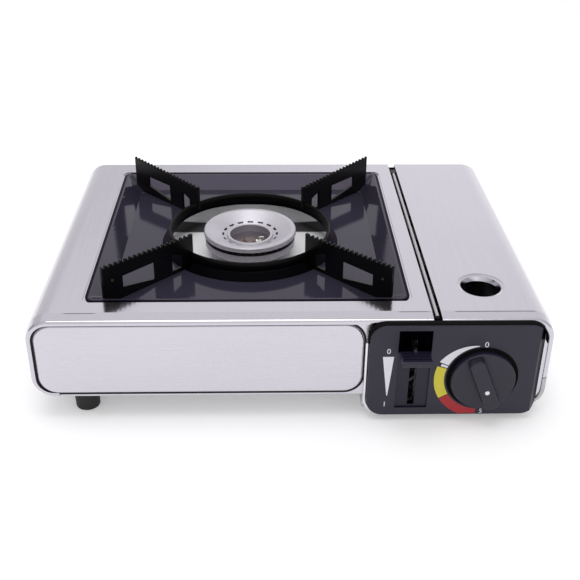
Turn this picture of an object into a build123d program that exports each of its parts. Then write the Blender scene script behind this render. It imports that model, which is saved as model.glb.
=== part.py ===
from build123d import *
import os
from math import cos, radians, sin, sqrt, tan

# Portable cassette gas stove. X runs to the right, Y to the back and Z up, in millimetres.
# The origin lies on the ground under the middle of the whole object.

# General values: casing sheet, gaps between pieces and the overrun of every cut
SHEET = 0.8
SEAT_GAP = 0.3
RUN_GAP = 0.5
FIT_GAP = 0.1
OVERRUN = 5.0

# Casing: a square tray field with margins round it, then the hinge channel and the cartridge lid
# The floor steps down at the control panel; FOOT_HEIGHT is that of the low part on the right
FOOT_HEIGHT = 6.0
BODY_HEIGHT = 70.0
SHELL_HEIGHT = 59.7
LEFT_MARGIN = 35.2
FRONT_MARGIN = 23.8
REAR_MARGIN = 20.3
TRAY_SIDE = 213.4
HINGE_STRIP = 11.6
HINGE_CHANNEL = 5.6
LID_WIDTH = 74.2
TOP_CORNER = 16.0
BOTTOM_CORNER = 15.0
BAY_CORNER = 14.0
RIM_FLANGE = 4.0
RIM_BEND = 2.2
CREASE_RUN = 10.0
CREASE_DROP = 1.0
CURL_LAND = 3.0

# Seat of the drip tray in the top plate
SEAT_MARGIN = 1.4
SEAT_DROP = 1.0
SEAT_LEDGE = 2.6
SEAT_LIP = 6.0
SEAT_CORNER = 5.0

# Base pan, partition and cartridge bay
LIP_DEPTH = 6.0
BAY_SILL = 6.0
JOGGLE = 1.8
JOGGLE_RISE = 14.0
JOGGLE_INSET = 2.6
LID_SKIRT = 46.0
PARTITION_INSET = 1.0
PARTITION_START = 70.0
VENT_COUNT = 10
VENT_RING_RADIUS = 46.0
VENT_LENGTH = 20.0
VENT_WIDTH = 5.0
CARTRIDGE_RADIUS = 33.0
RAIL_SPREAD = 14.0
RAIL_WIDTH = 3.0
BAY_END_GAP = 8.0

# Pressed panels at the front and the rear
EMBOSS_CORNER = 12.0
EMBOSS_EDGE = 1.0
EMBOSS_TOP_GAP = 0.6
EMBOSS_SIDE_GAP = 1.8
EMBOSS_RIGHT_GAP = 3.2
BEZEL = 2.2

# Lid and its finger hole
HOLE_BACK = 42.8
HOLE_RADIUS = 12.6
HOLE_RIM = 3.2
HOLE_DRAW = 4.0

# Piano hinge of the lid
KNUCKLE_RADIUS = 1.3
KNUCKLE_COUNT = 11
HINGE_PIN_RADIUS = 0.7
HINGE_FRONT = 12.0
HINGE_BEAD_FRONT = 4.0
HINGE_REAR = 21.0
LEAF_SHEET = 0.8
LEAF_MARGIN = 1.4
LEAF_STEP = 0.6
LID_LEAF_WIDTH = 9.0
HINGE_CAP_LENGTH = 7.0
HINGE_CAP_WIDTH = 4.0
HINGE_CAP_HEIGHT = 4.4

# Feet
FOOT_RADIUS = 8.6
FOOT_TIP_RADIUS = 8.0
FOOT_EDGE = 1.2
FOOT_INSET_X = 32.5
FOOT_INSET_Y = 15.5
FOOT_STEM_RADIUS = 2.4
FOOT_STEM = 3.0

# Drip tray with its pressed collar
TRAY_SHEET = 0.8
TRAY_RIM = 2.6
TRAY_RUN = 11.0
TRAY_DEPTH = 9.2
TRAY_CORNER = 4.0
COLLAR_RADIUS = 58.0
COLLAR_WIDTH = 3.4
COLLAR_FLARE = 4.6
COLLAR_HEIGHT = 5.7
COLLAR_LIP = 2.6
COLLAR_ROUND = 1.2

# Pan-support arms: serrated plates with a large window, a strut and a small window
ARM_COUNT = 4
ARM_SHEET = 2.0
ARM_RISE = 19.2
ARM_TOP_FALL = 3.4
ARM_INNER_INSET = 0.8
ARM_OVERHANG = 4.7
ARM_FOOT_LIFT = 2.4
ARM_FOOT_RUN = 10.5
ARM_BAR = 12.4
ARM_LEG = 16.0
ARM_WEB = 1.8
ARM_SMALL_WINDOW = 8.8
ARM_STRUT = 15.0
ARM_SILL = 3.0
ARM_LEG_SILL = 8.0
ARM_WEB_DROP = 4.0
ARM_HOLE_RADIUS = 1.1
TOOTH_PITCH = 4.0
TOOTH_DEPTH = 1.5
TOOTH_SHARES = (0.10, 0.30, 0.70, 0.90)

# Burner: bowl, port ring, cap with inner ports and a dished core in the well
BURNER_RISE = 0.4
CAP_RADIUS = 34.4
CAP_EDGE = 3.6
CAP_LAND = 3.4
CAP_DISH = 6.1
CAP_WALL = 1.6
CAP_ROUND = 0.6
WELL_RADIUS = 15.2
WELL_LIP = 1.2
WELL_DEPTH = 9.2
CORE_LEDGE = 1.4
CORE_LEDGE_HEIGHT = 2.0
CORE_SHEET = 1.4
CORE_BOSS_RADIUS = 4.0
CORE_BOSS = 1.2
INNER_PORT_COUNT = 16
INNER_PORT_RING_RADIUS = 20.2
INNER_PORT_LENGTH = 4.4
INNER_PORT_WIDTH = 1.5
PORT_GAP = 3.2
PORT_RING_RADIUS = 31.2
PORT_RING_WALL = 3.6
PORT_RING_SEAT = 2.0
PORT_COUNT = 40
PORT_WIDTH = 1.5
BOWL_RADIUS = 33.6
BOWL_WALL = 2.0
BOWL_RIM = 5.0
BOWL_CONE = 14.3
CHAMBER_RADIUS = 15.0
CHAMBER_HEIGHT = 15.0
CHAMBER_FLOOR = 2.0

# Burner stand and heat reflector
STAND_SHEET = 1.5
STAND_WIDTH = 24.0
STAND_SPAN = 60.0
STAND_FOOT = 12.0
REFLECTOR_DROP = 22.0
REFLECTOR_MARGIN = 0.4
REFLECTOR_SIDES = 8
REFLECTOR_LEG_WIDTH = 14.0
REFLECTOR_LEG_INSET = 5.0
REFLECTOR_FOOT = 9.0

# Gas path: mixing tube, jet, jet bracket and pipe
MIX_ANGLE = -50.0
MIX_RADIUS = 6.5
MIX_WALL = 1.0
MIX_LENGTH = 61.0
MIX_AIR_COUNT = 4
MIX_AIR_LENGTH = 9.0
MIX_AIR_WIDTH = 4.0
JET_RADIUS = 4.5
JET_TIP_RADIUS = 2.6
JET_TIP = 9.0
JET_LENGTH = 16.0
JET_REACH = 3.0
JET_BRACKET_WIDTH = 18.0
JET_BRACKET_FOOT = 12.0
PIPE_RADIUS = 2.5
PIPE_WALL = 0.6
PIPE_BEND = 6.0
PIPE_LANE = 12.0
PIPE_RUN_OUT = 14.0
PIPE_TURN_X = 9.0
PIPE_CLIMB = 5.0
PIPE_CLIMB_RUN = 12.0
PIPE_DECK_GAP = 2.0

# Control panel
PANEL_WIDTH = 113.5
PANEL_RIGHT_INSET = 7.0
PANEL_TOP_DROP = 1.7
PANEL_HEIGHT = 70.0
PANEL_PROUD = 5.5
PANEL_CORNER = 11.0
PANEL_EDGE = 1.0
PANEL_BEVEL = 4.6
PANEL_WALL = 2.2
SPIGOT_INSET = 5.6
POCKET_WIDTH = 21.4
POCKET_TOP = 5.6
POCKET_HEIGHT = 17.0
POCKET_DEPTH = 4.2
POCKET_WALL = 1.2
CHANNEL_DEPTH = 1.2
CHANNEL_BOTTOM = 65.5
SLOT_WIDTH = 4.4
SLOT_TOP = 15.0
SLOT_BOTTOM = 63.5

# Knob, stem and index dot
KNOB_OFFSET = 4.3
KNOB_DROP = 42.0
KNOB_RADIUS = 21.0
KNOB_BASE = 4.2
KNOB_REACH = 10.0
KNOB_EDGE = 1.0
GRIP_WIDTH = 11.0
GRIP_END_INSET = 1.2
GRIP_TAPER = 6.0
GRIP_EDGE = 1.0
GRIP_LEAN = 22.0
DOT_RADIUS = 1.5
DOT_REACH = 5.4
DOT_DEPTH = 1.0
STEM_RADIUS = 4.0
STEM_FLAT = 2.6

# Lock lever: arm on a cross pin, thumb paddle, crank pin and bracket
LEVER_FROM_LEFT = 29.2
LEVER_PIVOT_BACK = 58.0
LEVER_PIVOT_DROP = 40.5
LEVER_REACH = 66.0
LEVER_REST_ANGLE = 16.0
LEVER_SWING = 31.0
LEVER_SHEET = 2.0
LEVER_BAR = 7.6
LEVER_HUB = 7.0
LEVER_PIN_RADIUS = 3.0
CRANK_REACH = 10.0
CRANK_BAR = 6.4
CRANK_PIN_RADIUS = 1.8
PADDLE_WIDTH = 18.6
PADDLE_REACH = 14.0
PADDLE_CLEAR = 1.0
PADDLE_HEIGHT = 4.2
PADDLE_EDGE = 1.0
PADDLE_RIDGES = 3
PADDLE_RIDGE_PITCH = 3.0
PADDLE_RIDGE_DEPTH = 0.6
BRACKET_SHEET = 1.2
LEVER_EAR_LEFT = 6.0
LEVER_EAR_RIGHT = 9.0
LEVER_EAR_WIDTH = 16.0

# Cartridge carriage with its guide pins
CARRIAGE_SHEET = 1.5
CARRIAGE_BACK = 50.0
CARRIAGE_MARGIN = 3.0
CARRIAGE_TOP = 18.0
CARRIAGE_NOTCH = 17.0
CARRIAGE_FLANGE_GAP = 3.0
CARRIAGE_FLANGE_LENGTH = 17.0
CARRIAGE_BRIDGE_BELOW = 4.6
CARRIAGE_BRIDGE_ABOVE = 7.0
CRANK_SLOT_TRAVEL = 1.6
GUIDE_PIN_RADIUS = 2.0
GUIDE_PIN_SPREAD = 25.0
GUIDE_PIN_DROP = 26.5
GUIDE_PIN_BACK = 62.0

# Regulator, its bracket, the cartridge socket and the seal
VALVE_BRACKET_BACK = 26.0
VALVE_BRACKET_SHEET = 1.5
VALVE_BRACKET_INSET = 1.5
VALVE_BRACKET_TOP = 6.0
VALVE_BRACKET_FOOT = 10.0
REGULATOR_RADIUS = 21.0
REGULATOR_DEPTH = 12.0
REGULATOR_CROWN_RADIUS = 15.0
REGULATOR_CROWN = 3.0
BARREL_RADIUS = 8.5
BARREL_FRONT = 4.5
BARREL_BORE = 11.0
SOCKET_RADIUS = 12.0
SOCKET_LENGTH = 14.0
SOCKET_BORE = 7.0
SOCKET_DEPTH = 9.0
SEAL_RADIUS = 5.5
SEAL_BORE = 3.2
SEAL_HEIGHT = 2.4
OUTLET_RADIUS = 4.6
OUTLET_LENGTH = 7.0
OUTLET_DROP = 15.0
OUTLET_BACK = 20.0

# Ignition: piezo unit, lead and spark electrode in the burner's well
PIEZO_RADIUS = 6.0
PIEZO_LENGTH = 19.0
PIEZO_OFFSET_X = 26.5
PIEZO_DROP = 21.0
ELECTRODE_OFFSET_X = 6.4
ELECTRODE_OFFSET_Y = -6.4
ELECTRODE_RADIUS = 2.1
ELECTRODE_TAIL = 4.0
ELECTRODE_HEAD = 3.4
TIP_RADIUS = 0.7
TIP_RISE = 2.6
TIP_REACH = 4.0
LEAD_RADIUS = 1.2
LEAD_HEIGHT = 1.6
LEAD_BEND = 8.0

# Floor screws
SCREW_RADIUS = 1.5
SCREW_HEAD_RADIUS = 3.0
SCREW_HEAD = 1.8

# Overall places worked out from the sizes above
TOP_Z = FOOT_HEIGHT + BODY_HEIGHT
BASE_Z = FOOT_HEIGHT
FLOOR_Z = BASE_Z + SHEET
SHELL_BOTTOM_Z = TOP_Z - SHELL_HEIGHT
DECK_Z = SHELL_BOTTOM_Z + SHEET
BODY_WIDTH = LEFT_MARGIN + TRAY_SIDE + HINGE_STRIP + HINGE_CHANNEL + LID_WIDTH
BODY_DEPTH = FRONT_MARGIN + TRAY_SIDE + REAR_MARGIN
LEFT_X = -BODY_WIDTH / 2
RIGHT_X = BODY_WIDTH / 2
FRONT_Y = (PANEL_PROUD + max(KNOB_REACH, PADDLE_REACH) - BODY_DEPTH) / 2
REAR_Y = FRONT_Y + BODY_DEPTH
BURNER_X = LEFT_X + LEFT_MARGIN + TRAY_SIDE / 2
BURNER_Y = FRONT_Y + FRONT_MARGIN + TRAY_SIDE / 2
SHELL_RIGHT_X = LEFT_X + LEFT_MARGIN + TRAY_SIDE + HINGE_STRIP
HINGE_X = SHELL_RIGHT_X + HINGE_CHANNEL / 2
HINGE_Z = TOP_Z - KNUCKLE_RADIUS
LID_LEFT_X = SHELL_RIGHT_X + HINGE_CHANNEL
LID_BOTTOM_Z = TOP_Z - LID_SKIRT
CURL_END_X = LEFT_X + BOTTOM_CORNER + CURL_LAND
BASE_LEFT_X = CURL_END_X + SEAT_GAP
LIP_Z = DECK_Z + SEAT_GAP
PLATE_FRONT_Y = FRONT_Y + SHEET + SEAT_GAP
PLATE_REAR_Y = REAR_Y - SHEET - SEAT_GAP
BASE_FRONT_Y = PLATE_FRONT_Y + SHEET + SEAT_GAP
BASE_REAR_Y = PLATE_REAR_Y - SHEET - SEAT_GAP
PARTITION_X = SHELL_RIGHT_X - PARTITION_INSET - SHEET
BAY_LEFT_X = PARTITION_X + SHEET
BAY_RIGHT_X = RIGHT_X - JOGGLE - SHEET
BAY_AXIS_X = (BAY_LEFT_X + BAY_RIGHT_X) / 2
BAY_AXIS_Z = FLOOR_Z + CARTRIDGE_RADIUS + RUN_GAP
LEAF_TOP_Z = TOP_Z - SHEET
LEAF_BOTTOM_Z = LEAF_TOP_Z - LEAF_SHEET
LEAF_TAB_Z = HINGE_Z - KNUCKLE_RADIUS

# Places on the control panel
PANEL_RIGHT_X = RIGHT_X - PANEL_RIGHT_INSET
PANEL_LEFT_X = PANEL_RIGHT_X - PANEL_WIDTH
STEP_X = PANEL_LEFT_X - BEZEL
PANEL_TOP_Z = TOP_Z - PANEL_TOP_DROP
PANEL_BOTTOM_Z = PANEL_TOP_Z - PANEL_HEIGHT
PANEL_FACE_Y = FRONT_Y - PANEL_PROUD
PANEL_BACK_Y = FRONT_Y - SEAT_GAP
LEVER_X = PANEL_LEFT_X + LEVER_FROM_LEFT
KNOB_X = BAY_AXIS_X - KNOB_OFFSET
KNOB_Z = TOP_Z - KNOB_DROP

# Places of the tray, the arms and the burner
SEAT_Z = TOP_Z - SEAT_DROP
SEAT_HALF = TRAY_SIDE / 2 + SEAT_MARGIN
MOUTH_HALF = TRAY_SIDE / 2 - SEAT_LEDGE + SHEET
TRAY_TOP_Z = SEAT_Z + TRAY_SHEET
TRAY_FLOOR_Z = TRAY_TOP_Z - TRAY_DEPTH
TRAY_MOUTH_HALF = TRAY_SIDE / 2 - TRAY_RIM - SHEET
TRAY_FLOOR_HALF = TRAY_MOUTH_HALF - TRAY_RUN
COLLAR_TOP_Z = TRAY_FLOOR_Z + COLLAR_HEIGHT
COLLAR_OUTER_RADIUS = COLLAR_RADIUS + COLLAR_WIDTH
COLLAR_BASE_RADIUS = COLLAR_OUTER_RADIUS + COLLAR_FLARE
REFLECTOR_APOTHEM = COLLAR_BASE_RADIUS + REFLECTOR_MARGIN
ARM_TOP_Z = TOP_Z + ARM_RISE
ARM_OUTER_RADIUS = TRAY_FLOOR_HALF * sqrt(2) + ARM_OVERHANG
CAP_TOP_Z = TOP_Z + BURNER_RISE
CAP_UNDER_Z = CAP_TOP_Z - CAP_EDGE
BOWL_TOP_Z = CAP_UNDER_Z - PORT_GAP
BOWL_LEDGE_Z = BOWL_TOP_Z - PORT_RING_SEAT
BOWL_CONE_Z = BOWL_TOP_Z - BOWL_RIM
CHAMBER_TOP_Z = BOWL_CONE_Z - BOWL_CONE
CHAMBER_Z = CHAMBER_TOP_Z - CHAMBER_HEIGHT
WELL_TOP_Z = CAP_TOP_Z - CAP_DISH + WELL_LIP
WELL_FOOT_Z = WELL_TOP_Z - WELL_DEPTH
CORE_SEAT_Z = WELL_FOOT_Z + CORE_LEDGE_HEIGHT
REFLECTOR_Z = TOP_Z - REFLECTOR_DROP
MIX_Z = CHAMBER_TOP_Z - MIX_RADIUS - RUN_GAP
ELECTRODE_X = BURNER_X + ELECTRODE_OFFSET_X
ELECTRODE_Y = BURNER_Y + ELECTRODE_OFFSET_Y

# Places of the valve, the lever and the carriage
VALVE_BRACKET_Y = FRONT_Y + VALVE_BRACKET_BACK
VALVE_BRACKET_REAR_Y = VALVE_BRACKET_Y + VALVE_BRACKET_SHEET
PIVOT_Y = FRONT_Y + LEVER_PIVOT_BACK
PIVOT_Z = TOP_Z - LEVER_PIVOT_DROP
PADDLE_Z = PIVOT_Z + LEVER_REACH * sin(radians(LEVER_REST_ANGLE))
CRANK_Y = PIVOT_Y + CRANK_REACH * sin(radians(LEVER_SWING / 2))
CRANK_Z = PIVOT_Z + CRANK_REACH * cos(radians(LEVER_SWING / 2))
FLANGE_X = LEVER_X + LEVER_SHEET / 2 + CARRIAGE_FLANGE_GAP
CARRIAGE_Y = FRONT_Y + CARRIAGE_BACK
PIEZO_X = BAY_AXIS_X + PIEZO_OFFSET_X
PIEZO_Z = BAY_AXIS_Z - PIEZO_DROP
OUTLET_Y = FRONT_Y + OUTLET_BACK
OUTLET_Z = BAY_AXIS_Z - OUTLET_DROP
OUTLET_X = BAY_AXIS_X - REGULATOR_RADIUS - OUTLET_LENGTH


def block(x0, x1, y0, y1, z0, z1):
    """Box between two values along each axis."""
    middle = Pos((x0 + x1) / 2, (y0 + y1) / 2, (z0 + z1) / 2)
    return middle * Box(x1 - x0, y1 - y0, z1 - z0)


def rod_x(y, z, radius, x0, x1):
    """Round bar along X."""
    return Pos((x0 + x1) / 2, y, z) * Rot(0, 90, 0) * Cylinder(radius, x1 - x0)


def rod_y(x, z, radius, y0, y1):
    """Round bar along Y."""
    return Pos(x, (y0 + y1) / 2, z) * Rot(90, 0, 0) * Cylinder(radius, y1 - y0)


def rod_z(x, y, radius, z0, z1):
    """Round bar along Z."""
    return Pos(x, y, (z0 + z1) / 2) * Cylinder(radius, z1 - z0)


def along_x(sketch, x0, x1):
    """Extrude a YZ outline between two X values."""
    return Pos(x0, 0, 0) * extrude(Plane.YZ * sketch, amount=x1 - x0)


def along_y(sketch, y0, y1):
    """Extrude an XZ outline between two Y values."""
    return Pos(0, y1, 0) * extrude(Plane.XZ * sketch, amount=y1 - y0)


def along_z(sketch, z0, z1):
    """Extrude an XY outline between two Z values."""
    return Pos(0, 0, z0) * extrude(sketch, amount=z1 - z0)


def turned(points):
    """Revolve a closed outline of (radius, height) points about Z."""
    return revolve(Plane.XZ * make_face(Polyline(*points, close=True)), Axis.Z)


def rect(u0, u1, v0, v1):
    """Rectangle outline between two values along each axis."""
    return Pos((u0 + u1) / 2, (v0 + v1) / 2) * Rectangle(u1 - u0, v1 - v0)


def rounded_rect(u0, u1, v0, v1, radius):
    """Rectangle outline with round corners."""
    return Pos((u0 + u1) / 2, (v0 + v1) / 2) * RectangleRounded(u1 - u0, v1 - v0, radius)


def at_burner(shape):
    """Move a shape made about the Z axis to the burner's axis."""
    return Pos(BURNER_X, BURNER_Y, 0) * shape


def square_frame(outer_half, inner_half, z0, z1, corner):
    """Square ring round the burner's axis, with round corners."""
    outer = RectangleRounded(2 * outer_half, 2 * outer_half, corner + outer_half - inner_half)
    inner = RectangleRounded(2 * inner_half, 2 * inner_half, corner)
    return at_burner(along_z(outer - inner, z0, z1))


def casing_profile(inset):
    """Front outline of the whole casing, drawn in by an inset."""
    face = rect(LEFT_X + inset, RIGHT_X - inset, SHELL_BOTTOM_Z + inset, TOP_Z - inset)
    face = fillet(face.vertices().group_by(Axis.Y)[-1], TOP_CORNER - inset)
    return fillet(face.vertices().group_by(Axis.Y)[0], BOTTOM_CORNER - inset)


def bay_profile(inset):
    """Front outline of the deeper cartridge bay, drawn in by an inset."""
    face = rect(STEP_X, RIGHT_X - inset, BASE_Z + inset, TOP_Z - inset)
    right = face.vertices().group_by(Axis.X)[-1]
    face = fillet(right.sort_by(Axis.Y)[-1], TOP_CORNER - inset)
    corner = face.vertices().group_by(Axis.Y)[0].sort_by(Axis.X)[-1]
    return fillet(corner, BAY_CORNER - inset)


def bent_block(profile, inset):
    """Solid of a casing outline whose front slopes from a crease and whose ends are rounded."""
    solid = along_y(profile(inset), FRONT_Y + inset, REAR_Y - inset)
    front = solid.faces().sort_by(Axis.Y)[0]
    solid = chamfer(front.edges(), CREASE_DROP, CREASE_RUN - inset, reference=front)
    ends = solid.faces().sort_by(Axis.Y)
    return fillet(ends[0].edges() + ends[-1].edges(), RIM_BEND - inset)


def wrapped_sheet(profile):
    """Sheet wrapped round a casing outline, with a narrow flange turned in at both ends."""
    hollow = bent_block(profile, 0) - bent_block(profile, SHEET)
    mouth = along_y(profile(RIM_FLANGE), FRONT_Y - OVERRUN, REAR_Y + OVERRUN)
    return hollow - mouth


def top_shell():
    """Top plate with the tray's recessed seat, the left side and the curl under it."""
    shell = wrapped_sheet(casing_profile)
    y0 = FRONT_Y - OVERRUN
    y1 = REAR_Y + OVERRUN
    shell -= block(SHELL_RIGHT_X, RIGHT_X + OVERRUN, y0, y1, 0, TOP_Z + OVERRUN)
    shell -= block(CURL_END_X, RIGHT_X, y0, y1, 0, SHELL_BOTTOM_Z + RIM_FLANGE)
    opening = RectangleRounded(2 * SEAT_HALF, 2 * SEAT_HALF, SEAT_CORNER)
    shell -= at_burner(along_z(opening, SEAT_Z - OVERRUN, TOP_Z + OVERRUN))
    wall_half = SEAT_HALF + SHEET
    ledge_corner = SEAT_CORNER - SEAT_HALF + MOUTH_HALF + SHEET
    shell += square_frame(wall_half, SEAT_HALF, SEAT_Z - SHEET, TOP_Z - SHEET / 2, SEAT_CORNER)
    shell += square_frame(wall_half, MOUTH_HALF, SEAT_Z - SHEET, SEAT_Z, ledge_corner)
    lip_top = SEAT_Z - SHEET / 2
    shell += square_frame(MOUTH_HALF + SHEET, MOUTH_HALF, SEAT_Z - SEAT_LIP, lip_top, ledge_corner)
    return shell


def base_pan():
    """Stepped floor: a high deck under the burner and a low pan for the bay with its flush right wall."""
    ends = (BASE_FRONT_Y, BASE_REAR_Y)
    x1 = RIGHT_X - BAY_CORNER
    skirt = LID_BOTTOM_Z - RUN_GAP
    pan = block(BASE_LEFT_X, STEP_X + SHEET, *ends, SHELL_BOTTOM_Z, DECK_Z)
    flange_y0 = PLATE_FRONT_Y + LIP_DEPTH + SEAT_GAP
    flange_y1 = PLATE_REAR_Y - LIP_DEPTH - SEAT_GAP
    flange_x1 = BASE_LEFT_X + SHEET
    pan += block(BASE_LEFT_X, flange_x1, flange_y0, flange_y1, SHELL_BOTTOM_Z, DECK_Z + BAY_SILL)
    pan += block(STEP_X, STEP_X + SHEET, *ends, BASE_Z, DECK_Z)
    pan += block(STEP_X, x1, *ends, BASE_Z, FLOOR_Z)
    pan += block(STEP_X, x1, BASE_FRONT_Y, BASE_FRONT_Y + SHEET, BASE_Z, BASE_Z + BAY_SILL)
    pan += block(STEP_X, x1, BASE_REAR_Y - SHEET, BASE_REAR_Y, BASE_Z, DECK_Z)
    corner = wrapped_sheet(bay_profile)
    keep = block(x1 - CURL_LAND, RIGHT_X + OVERRUN, FRONT_Y - OVERRUN, REAR_Y + OVERRUN, 0, skirt)
    pan += corner & keep
    inner_x = RIGHT_X - JOGGLE - SHEET
    ends = (FRONT_Y + JOGGLE_INSET, REAR_Y - JOGGLE_INSET)
    pan += block(inner_x, RIGHT_X - SHEET / 2, *ends, skirt - SHEET, skirt)
    pan += block(inner_x, inner_x + SHEET, *ends, skirt - SHEET, skirt + JOGGLE_RISE)
    vents = PolarLocations(VENT_RING_RADIUS, VENT_COUNT) * SlotOverall(VENT_LENGTH, VENT_WIDTH, rotation=90)
    pan -= at_burner(along_z(Sketch() + vents, SHELL_BOTTOM_Z - OVERRUN, DECK_Z + OVERRUN))
    for x, y, z in foot_places():
        pan -= rod_z(x, y, FOOT_STEM_RADIUS + FIT_GAP, z - OVERRUN, z + OVERRUN)
    return pan - screw_holes()


def end_outline():
    """Outline of the front and rear plates: the casing's part and the deeper bay's part."""
    casing = casing_profile(CREASE_DROP + RIM_BEND / 2 + SHEET)
    casing &= rect(LEFT_X, SHELL_RIGHT_X, 0, TOP_Z)
    apron = rect(BASE_LEFT_X, STEP_X, LIP_Z, SHELL_BOTTOM_Z + RIM_FLANGE)
    return casing + apron + bay_profile(JOGGLE + SHEET + SEAT_GAP)


def emboss(x0, x1, y_face, y_plate):
    """Raised pillow of a pressed panel, hollow behind, as an outer and an inner solid."""
    z0 = SHELL_BOTTOM_Z + RIM_FLANGE
    z1 = TOP_Z - RIM_FLANGE - EMBOSS_TOP_GAP
    face_out = rounded_rect(x0, x1, z0, z1, EMBOSS_CORNER)
    face_in = rounded_rect(x0 + SHEET, x1 - SHEET, z0 + SHEET, z1 - SHEET, EMBOSS_CORNER - SHEET)
    outward = 1 if y_face > y_plate else -1
    low, high = sorted((y_face, y_plate))
    outer = along_y(face_out, low, high)
    outer = fillet(outer.faces().sort_by(Axis.Y)[-1 if outward > 0 else 0].edges(), EMBOSS_EDGE)
    low, high = sorted((y_face - outward * SHEET, y_plate - outward * OVERRUN))
    return outer, along_y(face_in, low, high)


def front_panel():
    """Front plate: embossed on the left, a backing for the control panel on the right."""
    y1 = PLATE_FRONT_Y + SHEET
    plate = along_y(end_outline(), PLATE_FRONT_Y, y1)
    left = LEFT_X + RIM_FLANGE + EMBOSS_SIDE_GAP
    raised, hollow = emboss(left, PANEL_LEFT_X - EMBOSS_RIGHT_GAP, FRONT_Y, y1)
    plate = plate + raised - hollow
    lip_y = PLATE_FRONT_Y + LIP_DEPTH
    plate += block(BASE_LEFT_X, STEP_X, PLATE_FRONT_Y, lip_y, LIP_Z, LIP_Z + SHEET)
    plate -= lever_slot(PLATE_FRONT_Y - OVERRUN, y1 + OVERRUN)
    return plate - rod_y(KNOB_X, KNOB_Z, BARREL_RADIUS, PLATE_FRONT_Y - OVERRUN, y1 + OVERRUN)


def rear_panel():
    """Rear plate, embossed behind the burner chamber and plain behind the cartridge bay."""
    y0 = PLATE_REAR_Y - SHEET
    plate = along_y(end_outline(), y0, PLATE_REAR_Y)
    left = LEFT_X + RIM_FLANGE + EMBOSS_SIDE_GAP
    raised, hollow = emboss(left, PANEL_LEFT_X - EMBOSS_RIGHT_GAP, REAR_Y, y0)
    plate = plate + raised - hollow
    lip_y = PLATE_REAR_Y - LIP_DEPTH
    return plate + block(BASE_LEFT_X, STEP_X, lip_y, PLATE_REAR_Y, LIP_Z, LIP_Z + SHEET)


def bay_partition():
    """Upright wall between the burner chamber and the cartridge bay."""
    y1 = BASE_REAR_Y - SHEET - SEAT_GAP
    return block(PARTITION_X, BAY_LEFT_X, FRONT_Y + PARTITION_START, y1, FLOOR_Z, LEAF_TAB_Z)


def cartridge_rails():
    """Two rails on the floor that carry the cartridge."""
    radius = CARTRIDGE_RADIUS + RUN_GAP
    height = radius - sqrt(radius**2 - (RAIL_SPREAD - RAIL_WIDTH / 2) ** 2)
    y0 = FRONT_Y + PARTITION_START
    y1 = REAR_Y - BAY_END_GAP
    rails = Part()
    for side in (-1, 1):
        x = BAY_AXIS_X + side * RAIL_SPREAD
        rails += block(x - RAIL_WIDTH / 2, x + RAIL_WIDTH / 2, y0, y1, FLOOR_Z, FLOOR_Z + height)
    return rails


def cartridge_lid():
    """Right cover: top, rolled corner and skirt, with a drawn finger hole."""
    lid = wrapped_sheet(casing_profile)
    y0 = FRONT_Y - OVERRUN
    y1 = REAR_Y + OVERRUN
    lid -= block(LEFT_X - OVERRUN, LID_LEFT_X, y0, y1, 0, TOP_Z + OVERRUN)
    lid -= block(LEFT_X, RIGHT_X + OVERRUN, y0, y1, 0, LID_BOTTOM_Z)
    rim_radius = HOLE_RADIUS + HOLE_RIM
    bend_radius = HOLE_RADIUS + HOLE_RIM / 3
    drawn = turned(
        [
            (rim_radius + SHEET, TOP_Z),
            (bend_radius, TOP_Z - HOLE_DRAW / 4),
            (HOLE_RADIUS, TOP_Z - HOLE_DRAW),
            (HOLE_RADIUS + SHEET, TOP_Z - HOLE_DRAW),
            (bend_radius + SHEET, TOP_Z - HOLE_DRAW / 4 - SHEET),
            (rim_radius + SHEET, TOP_Z - SHEET),
        ]
    )
    hole_y = FRONT_Y + HOLE_BACK
    lid -= rod_z(BAY_AXIS_X, hole_y, rim_radius, TOP_Z - OVERRUN, TOP_Z + OVERRUN)
    return lid + Pos(BAY_AXIS_X, hole_y, 0) * drawn


def hinge_leaf(first, outer_x, edge_x):
    """One leaf of the piano hinge, stepped down under every second knuckle, counted from the first."""
    y0 = FRONT_Y + HINGE_FRONT
    pitch = (REAR_Y - HINGE_REAR - y0) / KNUCKLE_COUNT
    inward = 1 if edge_x > outer_x else -1
    step_x = edge_x - inward * LEAF_STEP
    step = sorted((step_x - inward * LEAF_SHEET, step_x))
    tab = sorted((step_x - inward * LEAF_SHEET, HINGE_X))
    plate = sorted((outer_x, step_x))
    leaf = block(*plate, y0, y0 + pitch * KNUCKLE_COUNT, LEAF_BOTTOM_Z, LEAF_TOP_Z)
    for index in range(first, KNUCKLE_COUNT, 2):
        k0 = y0 + pitch * index + FIT_GAP
        k1 = y0 + pitch * (index + 1) - FIT_GAP
        leaf += block(*step, k0, k1, LEAF_TAB_Z, LEAF_TOP_Z)
        leaf += block(*tab, k0, k1, LEAF_TAB_Z, LEAF_TAB_Z + LEAF_SHEET)
        leaf += rod_y(HINGE_X, HINGE_Z, KNUCKLE_RADIUS, k0 if index else FRONT_Y + HINGE_BEAD_FRONT, k1)
    return leaf - rod_y(HINGE_X, HINGE_Z, HINGE_PIN_RADIUS + FIT_GAP, y0 - FIT_GAP, REAR_Y)


def hinge_fixed_leaf():
    """Leaf under the shell's edge."""
    width = HINGE_STRIP - SEAT_MARGIN - SHEET - LEAF_MARGIN
    return hinge_leaf(0, SHELL_RIGHT_X - width, SHELL_RIGHT_X)


def hinge_lid_leaf():
    """Leaf under the lid's edge."""
    return hinge_leaf(1, LID_LEFT_X + LID_LEAF_WIDTH, LID_LEFT_X)


def hinge_pin():
    """Long pin through all the knuckles, ending in the cap."""
    end = REAR_Y - HINGE_REAR + HINGE_CAP_LENGTH - SHEET
    return rod_y(HINGE_X, HINGE_Z, HINGE_PIN_RADIUS, FRONT_Y + HINGE_FRONT, end)


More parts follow.
